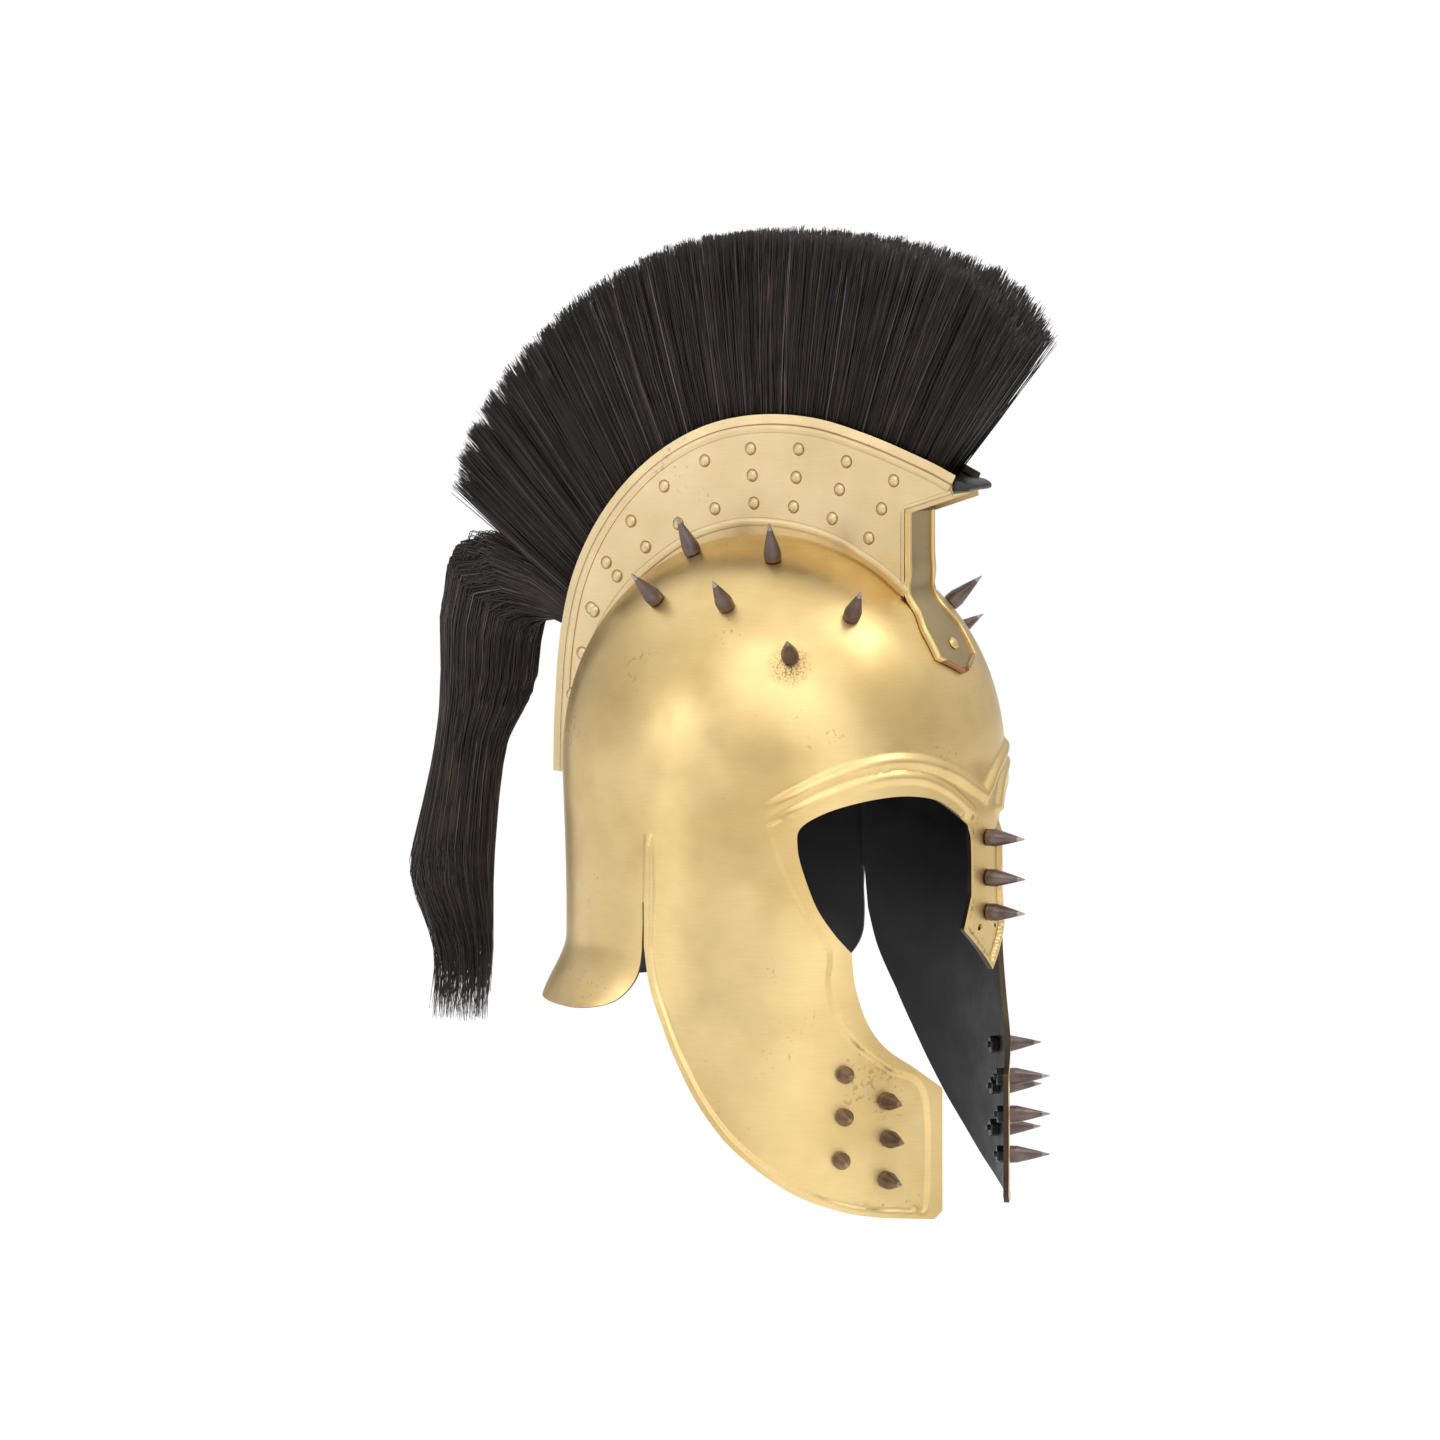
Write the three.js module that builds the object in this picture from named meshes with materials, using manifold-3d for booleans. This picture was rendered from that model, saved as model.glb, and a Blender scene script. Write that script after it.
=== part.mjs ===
import * as THREE from 'three';
import { mergeVertices } from 'three/addons/utils/BufferGeometryUtils.js';
import Module from 'manifold-3d';

// Greek-style crested helmet, in millimetres. It faces -Y, up is +Z, and the wearer's left is +X.
// The origin is the highest point inside the bowl, where the crown of the head sits.
// Inside this file heights count from the bowl's widest level, and the group is lowered at the end.

const wasm = await Module();
wasm.setup();

// Bowl and guards
const WALL = 1.2;
const BOWL_HALF_WIDTH = 100;
const BOWL_HALF_LENGTH = 115;
const BOWL_RISE = 117;
const BOWL_FULLNESS = 2.15;
const CHEEK_DROP = 216.5;
const NECK_DROP = 115.5;
const NECK_FLARE = 12.5;
const FLARE_DEPTH = 31;
const FLARE_TURN = 60;
const FLARE_FADE_TURN = 25;
const SLIT_DROP = 60;
const SLIT_TURN = 98.35;
const CHEEK_POINT_DROP = 83;
const RELIEF = 1.5;
const RIDGE_HALF_WIDTH = 3.4;
const FLANGE_WIDTH = 3;

// Nasal guard
const NASAL_DROP = 95;
const NASAL_SHOULDER_DROP = 74;
const NASAL_HALF_WIDTH = 14;
const NASAL_SHOULDER_HALF_WIDTH = 18.4;
const NASAL_FORWARD = 5;
const NASAL_FORWARD_TURN = 14;
const NASAL_FORWARD_RISE = 10;
const NASAL_FORWARD_DEPTH = 30;
const NASAL_RIM_WIDTH = 3;
const NASAL_HOLE_RADIUS = 1.2;
const NASAL_HOLE_SPACING = 15;

// Studs: a cone outside, a shank through the sheet and a nut inside
const STUD_LENGTH = 21.5;
const STUD_RADIUS = 4.3;
const STUD_SHOULDER = 5;
const SHANK_RADIUS = 1.5;
const NUT_RADIUS = 4.5;
const NUT_THICKNESS = 4;
const SEAT_GAP = 0.3;
const NUT_GAP = 0.9;
const SHANK_CLEARANCE = 0.3;
const DRILL_LENGTH = 20;

// Crest holder, a channel of sheet over the middle of the bowl
const HOLDER_WIDTH = 24.8;
const HOLDER_SHEET = 1.2;
const HOLDER_HEIGHT = 56;
const HOLDER_FRONT = 79;
const HOLDER_LIP_REACH = 106.5;
const HOLDER_LIP_HEIGHT = 5;
const HOLDER_LIP_LEVEL = 141;
const HOLDER_THROAT_LEVEL = 132;
const HOLDER_REAR_TURN = 184;
const HOLDER_END_GAP = 0.4;
const CROWN_GAP = 3.6;
const RIM_HEIGHT = 0.8;
const TOP_RIM_WIDTH = 4.5;
const LOW_RIM_WIDTH = 4;
const BOSS_RADIUS = 3;
const BOSS_HEIGHT = 1.8;
const BOSS_STEP = 10.2;
const BOSS_START_TURN = 63.6;
const BOSS_MARGIN = 12;
const RIM_START_GAP = 1;

// Front strap, its rivet and the rivet at the holder's rear end
const STRAP_SHEET = 1.2;
const STRAP_HALF_WIDTH = 12.2;
const STRAP_FOOT_HALF_WIDTH = 17.6;
const STRAP_RIM_WIDTH = 2.4;
const STRAP_RIM_HEIGHT = 1.6;
const STRAP_TIP_DROP = 64;
const STRAP_TIP_HALF_WIDTH = 3;
const STRAP_TOP_GAP = 1;
const STRAP_BEND = 5;
const STRAP_BEND_DROPS = [20, 34];
const FRONT_RIVET_TURN = 7.5;
const REAR_RIVET_TURN = 10;
const RIVET_RADIUS = 3.2;
const RIVET_HEAD = 1.6;

// Plume and tail
const PLUME_BASE_DEPTH = 10;
const PLUME_BASE_SINK = 0.5;
const PLUME_NOSE_REACH = 116;
const PLUME_NOSE_DEPTH = 9;
const PLUME_NOSE_RISE = 2;
const LOCK_ROOT_SINK = 4;
const LOCK_TIP_INSET = 5;
const LOCK_FULL_SHARE = 0.93;
const LOCK_SPAN = 0.56;
const HAIR_LENGTH = 98;
const HAIR_HALF_SPREAD = 21;
const HAIR_FRONT_TURN = 55.5;
const HAIR_REAR_TURN = 147;
const HAIR_REAR_TIP_TURN = 144.6;
const LOCK_COUNT = 15;
const TAIL_HALF_DEPTH = 27;
const TAIL_HALF_WIDTH = 23;
const TAIL_LENGTH = 205;
const TAIL_HEAD_TURN = 6;
const TAIL_LOCKS = 4;
const TAIL_LOCK_SPREAD = 0.42;
const TAIL_LOCK_SIZE = 0.58;
const TAIL_OPENING = 100;
const TAIL_TWIST = 2.4;
const PART_GAP = 0.3;

// Facets round the bowl, and its rows above and below the widest level
const CROWN_LEVEL = 0.985;
const CUT_MARGIN = 3;
const CUT_LAYERS = [0.35, 0.97, 1.03, 2.2];
const COLUMNS = 36;
const BOWL_ROWS = 8;
const GUARD_ROWS = 8;
const STUD_SIDES = 6;
const HOLE_SIDES = 5;
const BOSS_SIDES = 4;
const HOLDER_STEPS = 15;
const RIM_STEPS = 14;
const TAIL_SIDES = 5;

// Level sections of the guards: drop as a share of CHEEK_DROP, the rest as shares of the bowl's
// half width and half length, and the exponent that makes the front rounder or more pointed
const SECTIONS = [
  { drop: 0.00, width: 1.000, front: 1.000, rear: 1.000, power: 2.00 },
  { drop: 0.30, width: 1.030, front: 1.006, rear: 0.966, power: 1.93 },
  { drop: 0.60, width: 1.080, front: 1.014, rear: 0.957, power: 1.87 },
  { drop: 0.83, width: 1.105, front: 1.021, rear: 0.957, power: 1.83 },
  { drop: 1.10, width: 1.095, front: 1.026, rear: 0.957, power: 1.80 },
];

// Outlines of one side: turn in degrees from straight ahead, drop as a share of the named size
const EYE_EDGE = [
  { turn: 14.5, drop: 0.160 },
  { turn: 19.5, drop: 0.100 },
  { turn: 27.5, drop: 0.072 },
  { turn: 35.0, drop: 0.078 },
  { turn: 43.0, drop: 0.110 },
  { turn: 50.5, drop: 0.165 },
  { turn: 56.2, drop: 0.250 },
  { turn: 56.8, drop: 0.360 },
  { turn: 55.4, drop: 0.500 },
  { turn: 51.5, drop: 0.730 },
  { turn: 46.5, drop: 0.900 },
];
// Beside the mouth and down the chin, as shares of the way from CHEEK_POINT_DROP to CHEEK_DROP
const MOUTH_EDGE = [
  { turn: 42.6, drop: 0.000 },
  { turn: 41.6, drop: 0.116 },
  { turn: 38.4, drop: 0.254 },
  { turn: 33.6, drop: 0.351 },
  { turn: 26.5, drop: 0.424 },
];
const CHEEK_FRONT_EDGE = [
  { turn: 17.8, drop: 0.514 },
  { turn: 18.2, drop: 0.971 },
  { turn: 20.5, drop: 1.000 },
];
const CHEEK_REAR_EDGE = [
  { turn: 34.3, drop: 0.990 },
  { turn: 44.2, drop: 0.973 },
  { turn: 56.4, drop: 0.926 },
  { turn: 69.3, drop: 0.834 },
  { turn: 77.9, drop: 0.744 },
  { turn: 84.5, drop: 0.653 },
  { turn: 90.5, drop: 0.560 },
  { turn: 95.2, drop: 0.470 },
  { turn: 97.6, drop: 0.380 },
];
const NECK_EDGE = [
  { turn: 98.8, drop: 0.620 },
  { turn: 98.9, drop: 0.740 },
  { turn: 99.8, drop: 0.830 },
  { turn: 102.6, drop: 0.905 },
  { turn: 107.0, drop: 0.962 },
  { turn: 115.0, drop: 0.993 },
  { turn: 127.0, drop: 1.000 },
];
// Inner line of the raised border, from the lower ridge's outer end (0) to CHEEK_DROP (1)
const BORDER_LINE = [
  { turn: 64.0, drop: 0.006 },
  { turn: 62.0, drop: 0.064 },
  { turn: 59.8, drop: 0.119 },
  { turn: 54.8, drop: 0.209 },
  { turn: 48.8, drop: 0.295 },
  { turn: 47.9, drop: 0.339 },
  { turn: 48.2, drop: 0.394 },
  { turn: 45.8, drop: 0.482 },
  { turn: 40.6, drop: 0.552 },
  { turn: 32.5, drop: 0.615 },
  { turn: 22.8, drop: 0.683 },
  { turn: 22.6, drop: 0.956 },
  { turn: 26.0, drop: 0.969 },
];
// Rest of the border's outline, off the sheet's edge, on the same scale
const BORDER_OUTSIDE = [
  { turn: 14.0, drop: 0.560 },
  { turn: 30.0, drop: 0.120 },
  { turn: 16.0, drop: 0.010 },
];
// Crests of the two brow ridges: turn in degrees, height in shares of BOWL_RISE
const UPPER_RIDGE = [
  { turn: 67.0, rise: -0.125 },
  { turn: 56.2, rise: -0.030 },
  { turn: 48.4, rise: 0.030 },
  { turn: 40.3, rise: 0.072 },
  { turn: 31.7, rise: 0.094 },
  { turn: 22.4, rise: 0.082 },
  { turn: 11.8, rise: 0.030 },
  { turn: 3.2, rise: -0.045 },
  { turn: -1.5, rise: -0.085 },
];
const LOWER_RIDGE = [
  { turn: 64.5, rise: -0.170 },
  { turn: 56.0, rise: -0.093 },
  { turn: 48.0, rise: -0.035 },
  { turn: 40.0, rise: 0.005 },
  { turn: 31.5, rise: 0.026 },
  { turn: 22.5, rise: 0.014 },
  { turn: 14.0, rise: -0.045 },
  { turn: 7.5, rise: -0.130 },
];
// Side of the nasal guard from the brow down, as shares of NASAL_HALF_WIDTH and NASAL_DROP
const NASAL_EDGE = [
  { reach: 1.04, drop: 0.23 },
  { reach: 1.00, drop: 0.38 },
  { reach: 1.00, drop: 0.60 },
];

// Height of the holder's top edge over the bowl, by turn from straight ahead over the crown
const HOLDER_EDGE = [
  { turn: 56.0, height: 1.080 },
  { turn: 63.3, height: 1.015 },
  { turn: 72.0, height: 0.985 },
  { turn: 82.0, height: 0.990 },
  { turn: 92.0, height: 0.975 },
  { turn: 102.2, height: 0.925 },
  { turn: 113.0, height: 0.825 },
  { turn: 126.5, height: 0.670 },
  { turn: 142.0, height: 0.480 },
  { turn: 153.0, height: 0.340 },
  { turn: 165.0, height: 0.230 },
  { turn: 175.0, height: 0.198 },
  { turn: 184.0, height: 0.198 },
];
// Gap under the holder as a share of CROWN_GAP
const HOLDER_LIFT = [
  { turn: 50.0, lift: 0.00 },
  { turn: 64.0, lift: 0.05 },
  { turn: 78.0, lift: 0.60 },
  { turn: 96.0, lift: 1.00 },
  { turn: 112.0, lift: 0.60 },
  { turn: 126.0, lift: 0.05 },
  { turn: 184.0, lift: 0.00 },
];
// Boss rows: how far from the lower edge (0) to the upper one (1), and how many bosses
const BOSS_ROWS = [
  { place: 1.00, count: 11 },
  { place: 0.54, count: 4 },
  { place: 0.06, count: 9 },
];
// Hair beyond the holder's edge, as shares of HAIR_LENGTH, by place from front to rear
const HAIR_EDGE = [
  { place: 0.00, length: 0.86 },
  { place: 0.05, length: 0.99 },
  { place: 0.12, length: 1.05 },
  { place: 0.30, length: 0.99 },
  { place: 0.50, length: 0.99 },
  { place: 0.75, length: 0.97 },
  { place: 0.92, length: 0.955 },
  { place: 1.00, length: 0.90 },
];
// Tail sections: middle back and down as shares of TAIL_LENGTH from the tail's root, size, and
// the tilt of the section in degrees
const TAIL_LINE = [
  { back: 0.000, down: 0.000, size: 0.26, tilt: 122 },
  { back: 0.073, down: -0.046, size: 0.41, tilt: 117 },
  { back: 0.122, down: -0.073, size: 0.59, tilt: 94 },
  { back: 0.188, down: -0.095, size: 0.86, tilt: 68 },
  { back: 0.259, down: -0.090, size: 1.16, tilt: 48 },
  { back: 0.292, down: -0.010, size: 1.08, tilt: 26 },
  { back: 0.299, down: 0.078, size: 1.03, tilt: 10 },
  { back: 0.307, down: 0.180, size: 0.94, tilt: 5 },
  { back: 0.338, down: 0.256, size: 0.79, tilt: 8 },
  { back: 0.361, down: 0.333, size: 0.70, tilt: 10 },
  { back: 0.386, down: 0.474, size: 0.76, tilt: 6 },
  { back: 0.413, down: 0.610, size: 0.87, tilt: 2 },
  { back: 0.410, down: 0.692, size: 0.82, tilt: -2 },
  { back: 0.386, down: 0.785, size: 0.66, tilt: -4 },
  { back: 0.378, down: 0.863, size: 0.46, tilt: 0 },
  { back: 0.390, down: 0.951, size: 0.26, tilt: 0 },
  { back: 0.395, down: 1.010, size: 0.11, tilt: 0 },
];
// Places of the studs: turn in degrees, drop in shares of CHEEK_DROP or rise in shares of BOWL_RISE
const BOWL_STUDS = [
  { name: 'crown_rear', turn: 126.6, rise: 0.915 },
  { name: 'crown_front', turn: 66.8, rise: 0.912 },
  { name: 'side_rear', turn: 113.2, rise: 0.733 },
  { name: 'side_mid', turn: 81.6, rise: 0.729 },
  { name: 'side_front', turn: 37.3, rise: 0.692 },
  { name: 'side_low', turn: 58.9, rise: 0.533 },
];
const CHEEK_STUDS = [
  { name: 'rear_top', turn: 43.7, drop: 0.658 },
  { name: 'rear_mid', turn: 43.7, drop: 0.755 },
  { name: 'rear_low', turn: 44.4, drop: 0.854 },
  { name: 'front_top', turn: 33.1, drop: 0.722 },
  { name: 'front_mid', turn: 32.6, drop: 0.809 },
  { name: 'front_low', turn: 33.2, drop: 0.903 },
];
const NASAL_STUD_DROPS = [0.31, 0.52, 0.70];

// Finishes
const BRASS = new THREE.MeshStandardMaterial({ color: 0xc9a75a, roughness: 0.34, metalness: 1 });
const BRONZE = new THREE.MeshStandardMaterial({ color: 0x4a3a33, roughness: 0.5, metalness: 0.6 });
const HAIR = new THREE.MeshStandardMaterial({ color: 0x17140f, roughness: 0.75, metalness: 0 });

const RIGHT = -1;
const LEFT = 1;
const SIDES = [RIGHT, LEFT];
const radians = THREE.MathUtils.degToRad;
const smooth = (value) => THREE.MathUtils.smoothstep(value, 0, 1);

// Reads a column of a table at any place, along a smooth curve through its rows
function tableValue(rows, key, column, at) {
  const last = rows.length - 1;
  const place = THREE.MathUtils.clamp(at, rows[0][key], rows[last][key]);
  let i = 0;
  while (i < last - 1 && rows[i + 1][key] < place) {
    i += 1;
  }
  const slope = (j) => {
    const a = rows[Math.max(j - 1, 0)];
    const b = rows[Math.min(j + 1, last)];
    return (b[column] - a[column]) / (b[key] - a[key]);
  };
  const span = rows[i + 1][key] - rows[i][key];
  const t = (place - rows[i][key]) / span;
  const start = (1 + 2 * t) * (1 - t) ** 2 * rows[i][column];
  const end = (3 - 2 * t) * t ** 2 * rows[i + 1][column];
  const bend = (1 - t) * slope(i) - t * slope(i + 1);
  return start + end + t * (1 - t) * span * bend;
}

// Sheet surface. Level runs from 1 at the crown over 0 at the widest row down to -1 at CHEEK_DROP
function levelAt(height) {
  if (height <= 0) {
    return height / CHEEK_DROP;
  }
  const share = Math.min(height / BOWL_RISE, 1);
  return Math.asin(share ** (BOWL_FULLNESS / 2)) / (Math.PI / 2);
}

function signedPower(value, power) {
  return Math.sign(value) * Math.abs(value) ** power;
}

function sheetPoint(turn, level) {
  const angle = radians(turn);
  const across = Math.sin(angle);
  const ahead = Math.cos(angle);
  const drop = Math.max(-level, 0);
  const climb = radians(90 * Math.max(level, 0));
  const shrink = Math.cos(climb) ** (2 / BOWL_FULLNESS);
  const rise = BOWL_RISE * Math.sin(climb) ** (2 / BOWL_FULLNESS);
  const facesFront = ahead >= 0;
  const power = facesFront ? 2 / tableValue(SECTIONS, 'drop', 'power', drop) : 1;
  const halfWidth = BOWL_HALF_WIDTH * tableValue(SECTIONS, 'drop', 'width', drop);
  const column = facesFront ? 'front' : 'rear';
  const halfLength = BOWL_HALF_LENGTH * tableValue(SECTIONS, 'drop', column, drop);
  const point = new THREE.Vector3(
    halfWidth * shrink * signedPower(across, power),
    -halfLength * shrink * signedPower(ahead, power),
    rise - drop * CHEEK_DROP,
  );
  const fromRear = 180 - Math.abs(wrapTurn(turn));
  const flareDrop = smooth((drop * CHEEK_DROP - NECK_DROP + FLARE_DEPTH) / (FLARE_DEPTH * 1.2));
  const flareFade = smooth((FLARE_TURN + FLARE_FADE_TURN - fromRear) / FLARE_FADE_TURN);
  const flare = NECK_FLARE * flareDrop * flareFade;
  const away = new THREE.Vector3(point.x / halfWidth ** 2, point.y / halfLength ** 2, 0);
  point.addScaledVector(away.normalize(), flare);
  const narrow = Math.exp(-((wrapTurn(turn) / NASAL_FORWARD_TURN) ** 2));
  point.y -= NASAL_FORWARD * narrow * smooth((NASAL_FORWARD_RISE - point.z) / NASAL_FORWARD_DEPTH);
  return point;
}

function wrapTurn(turn) {
  return ((turn + 540) % 360) - 180;
}

function sheetNormal(turn, level) {
  const step = 0.01;
  const lower = Math.min(level, 0.999);
  const alongTurn = sheetPoint(turn + 1, lower).sub(sheetPoint(turn - 1, lower));
  const alongLevel = sheetPoint(turn, lower + step * (1 - Math.max(lower, 0)));
  alongLevel.sub(sheetPoint(turn, lower - step));
  return alongTurn.cross(alongLevel).normalize();
}

function offsetPoint(turn, level, offset) {
  if (level >= 1) {
    return new THREE.Vector3(0, 0, BOWL_RISE + offset);
  }
  return sheetPoint(turn, level).addScaledVector(sheetNormal(turn, level), offset);
}

// Solids
function facetGeometry(points, faces) {
  const geometry = new THREE.BufferGeometry();
  const positions = new Float32Array(points.length * 3);
  points.forEach((point, i) => point.toArray(positions, i * 3));
  geometry.setAttribute('position', new THREE.BufferAttribute(positions, 3));
  geometry.setIndex(faces);
  return geometry;
}

function signedVolume(points, faces) {
  let volume = 0;
  for (let i = 0; i < faces.length; i += 3) {
    const [a, b, c] = [points[faces[i]], points[faces[i + 1]], points[faces[i + 2]]];
    volume += a.dot(new THREE.Vector3().crossVectors(b, c)) / 6;
  }
  return volume;
}

function solidOf(geometry) {
  const bare = geometry.clone();
  bare.deleteAttribute('normal');
  bare.deleteAttribute('uv');
  const merged = mergeVertices(bare, 1e-4);
  const mesh = new wasm.Mesh({
    numProp: 3,
    vertProperties: merged.attributes.position.array,
    triVerts: new Uint32Array(merged.index.array),
  });
  return new wasm.Manifold(mesh);
}

function closedSolid(points, faces) {
  const outward = signedVolume(points, faces) > 0 ? faces : [...faces].reverse();
  return solidOf(facetGeometry(points, outward));
}

// Closed body through rings of equal count, each end closed round its middle
function loftSolid(rings) {
  const count = rings[0].length;
  const points = rings.flat();
  const faces = [];
  for (let r = 0; r < rings.length - 1; r += 1) {
    for (let i = 0; i < count; i += 1) {
      const a = r * count + i;
      const b = r * count + ((i + 1) % count);
      faces.push(a, b, a + count, b, b + count, a + count);
    }
  }
  [0, rings.length - 1].forEach((r) => {
    const middle = new THREE.Vector3();
    rings[r].forEach((point) => middle.addScaledVector(point, 1 / count));
    points.push(middle);
    for (let i = 0; i < count; i += 1) {
      const a = r * count + i;
      const b = r * count + ((i + 1) % count);
      faces.push(...(r === 0 ? [points.length - 1, b, a] : [points.length - 1, a, b]));
    }
  });
  return closedSolid(points, faces);
}

// Prism through copies of an outline, its two ends cut into triangles
function prismSolid(outline, layers) {
  const count = outline.length;
  const points = layers.flat();
  const last = (layers.length - 1) * count;
  const faces = [];
  for (let k = 0; k < last; k += count) {
    for (let i = 0; i < count; i += 1) {
      const next = (i + 1) % count;
      faces.push(k + i, k + next, k + i + count, k + next, k + next + count, k + i + count);
    }
  }
  const turned = THREE.ShapeUtils.isClockWise(outline);
  THREE.ShapeUtils.triangulateShape(outline, []).forEach(([a, b, c]) => {
    const [p, q, r] = turned ? [a, b, c] : [c, b, a];
    faces.push(p, q, r, r + last, q + last, p + last);
  });
  return closedSolid(points, faces);
}

// Wedge of space that runs out from the middle of the helmet through an outline on the sheet
function radialSolid(outline) {
  const flat = outline.map(({ turn, height }) => new THREE.Vector2(turn, height));
  const at = (share) => outline.map(({ turn, height }) => {
    const point = sheetPoint(turn, levelAt(height));
    return new THREE.Vector3(point.x * share, point.y * share, point.z);
  });
  return prismSolid(flat, CUT_LAYERS.map(at));
}

// Plate in the middle plane: outline as [y, z], thickness from x = low to x = high
function plateSolid(outline, low, high) {
  const flat = outline.map(([y, z]) => new THREE.Vector2(y, z));
  const at = (x) => outline.map(([y, z]) => new THREE.Vector3(x, y, z));
  return prismSolid(flat, [at(low), at(high)]);
}

function bowlSolid(offset, bottom) {
  const rings = [];
  for (let r = 0; r <= GUARD_ROWS; r += 1) {
    rings.push(THREE.MathUtils.lerp(-bottom / CHEEK_DROP, 0, r / GUARD_ROWS));
  }
  for (let r = 1; r < BOWL_ROWS; r += 1) {
    rings.push(r / BOWL_ROWS);
  }
  rings.push(CROWN_LEVEL);
  const ring = (level) => {
    const points = [];
    for (let i = 0; i < COLUMNS; i += 1) {
      points.push(offsetPoint((360 * i) / COLUMNS - 180, level, offset));
    }
    return points;
  };
  return loftSolid(rings.map(ring));
}

// Outlines on the sheet, as turn and height, mirrored for the left side
const BELOW_ALL = -CHEEK_DROP - 4 * CUT_MARGIN;
const DEGREE_LENGTH = radians(BOWL_HALF_LENGTH);
// Points of the neck line, from the slit on, that are cut together with the slit
const SLIT_POINTS = 2;

function heights(rows, size, start = 0) {
  return rows.map(({ turn, drop }) => ({ turn, height: -THREE.MathUtils.lerp(start, size, drop) }));
}

function chinHeights(rows) {
  return heights(rows, CHEEK_DROP, CHEEK_POINT_DROP);
}

function crestHeights(rows) {
  return rows.map(({ turn, rise }) => ({ turn, height: rise * BOWL_RISE }));
}

function curveThrough(rows, steps) {
  const flat = rows.map(({ turn, height }) => new THREE.Vector2(turn, height));
  const points = new THREE.SplineCurve(flat).getPoints(steps);
  return points.map(({ x, y }) => ({ turn: x, height: y }));
}

function mirrored(outline, side) {
  return outline.map(({ turn, height }) => ({ turn: side * turn, height }));
}

function turnAtReach(reach, height) {
  const drop = Math.max(-height, 0) / CHEEK_DROP;
  const halfWidth = BOWL_HALF_WIDTH * tableValue(SECTIONS, 'drop', 'width', drop);
  const power = tableValue(SECTIONS, 'drop', 'power', drop) / 2;
  return THREE.MathUtils.radToDeg(Math.asin((reach / halfWidth) ** power));
}

function nasalEdge(inset) {
  const sides = NASAL_EDGE.map(({ reach, drop }) => [reach * NASAL_HALF_WIDTH, -drop * NASAL_DROP]);
  const shoulder = [NASAL_SHOULDER_HALF_WIDTH, inset / 2 - NASAL_SHOULDER_DROP];
  return [...sides, shoulder].map(([reach, height]) => {
    return { turn: turnAtReach(reach - inset, height), height };
  });
}

function eyeLine() {
  return curveThrough([nasalEdge(0)[0], ...heights(EYE_EDGE, CHEEK_POINT_DROP)], 14);
}

function mouthLine() {
  return curveThrough(chinHeights(MOUTH_EDGE), 6);
}

function faceOpening() {
  const chin = chinHeights(CHEEK_FRONT_EDGE);
  return [
    ...nasalEdge(0).reverse(),
    ...eyeLine().slice(1),
    ...mouthLine(),
    ...chin,
    { turn: chin[chin.length - 1].turn, height: BELOW_ALL },
    { turn: -2, height: BELOW_ALL },
    { turn: -2, height: -NASAL_DROP - CUT_MARGIN },
    { turn: 0, height: -NASAL_DROP },
  ];
}

// The space behind and below a cheek guard, and the space below the neck guard
function sideOpening() {
  const start = CHEEK_FRONT_EDGE[CHEEK_FRONT_EDGE.length - 1].turn - 1;
  return [
    { turn: start, height: -CHEEK_DROP },
    ...cheekRearLine(),
    { turn: SLIT_TURN, height: -SLIT_DROP },
    ...neckLine().slice(0, SLIT_POINTS),
    { turn: neckLine()[SLIT_POINTS].turn, height: BELOW_ALL },
    { turn: start, height: BELOW_ALL },
  ];
}

function neckOpening() {
  const line = neckLine().slice(SLIT_POINTS - 1);
  const start = { turn: line[0].turn - 1, height: line[0].height - CUT_MARGIN };
  const end = 180 + 2 * CUT_MARGIN;
  return [
    start,
    ...line,
    { turn: end, height: -NECK_DROP },
    { turn: end, height: BELOW_ALL },
    { turn: start.turn, height: BELOW_ALL },
  ];
}

function cheekRearLine() {
  return curveThrough(heights(CHEEK_REAR_EDGE, CHEEK_DROP), 10);
}

function neckLine() {
  return curveThrough(heights(NECK_EDGE, NECK_DROP), 8);
}

// Raised border round the eye, beside the mouth and down the front edge
function borderRegion() {
  const crest = crestHeights(LOWER_RIDGE);
  const top = -crest[0].height;
  const inner = curveThrough(heights(BORDER_LINE, CHEEK_DROP, top), 13);
  const outside = heights(BORDER_OUTSIDE, CHEEK_DROP, top);
  return [
    ...curveThrough(crest, 8).reverse(),
    ...inner,
    { turn: inner[inner.length - 1].turn, height: -CHEEK_DROP - CUT_MARGIN },
    { turn: outside[0].turn, height: -CHEEK_DROP - CUT_MARGIN },
    ...outside,
  ];
}

function ridgeRegion(rows) {
  const line = curveThrough(crestHeights(rows), 8);
  const shift = (away) => line.map(({ turn, height }, i) => {
    const before = line[Math.max(i - 1, 0)];
    const after = line[Math.min(i + 1, line.length - 1)];
    const across = (after.turn - before.turn) * DEGREE_LENGTH;
    const along = new THREE.Vector2(across, after.height - before.height);
    along.normalize().multiplyScalar(away);
    return { turn: turn - along.y / DEGREE_LENGTH, height: height + along.x };
  });
  return [...shift(RIDGE_HALF_WIDTH), ...shift(-RIDGE_HALF_WIDTH).reverse()];
}

// Raised lip along the rear edge of the cheek guard and a little above the slit
function flangeRegion() {
  const edge = cheekRearLine();
  const top = { turn: SLIT_TURN, height: -0.42 * SLIT_DROP };
  const turnWidth = FLANGE_WIDTH / 2 / DEGREE_LENGTH;
  const inner = edge.map(({ turn, height }) => {
    const lean = smooth((turn - 60) / 35);
    return { turn: turn - 2 * turnWidth * lean, height: height + (1 - lean) * 1.6 * FLANGE_WIDTH };
  });
  const outer = edge.map(({ turn, height }) => {
    return { turn: turn + turnWidth, height: height - FLANGE_WIDTH / 2 };
  });
  return [...inner, { turn: top.turn - 2 * turnWidth, height: top.height }, top, ...outer.reverse()];
}

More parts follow.
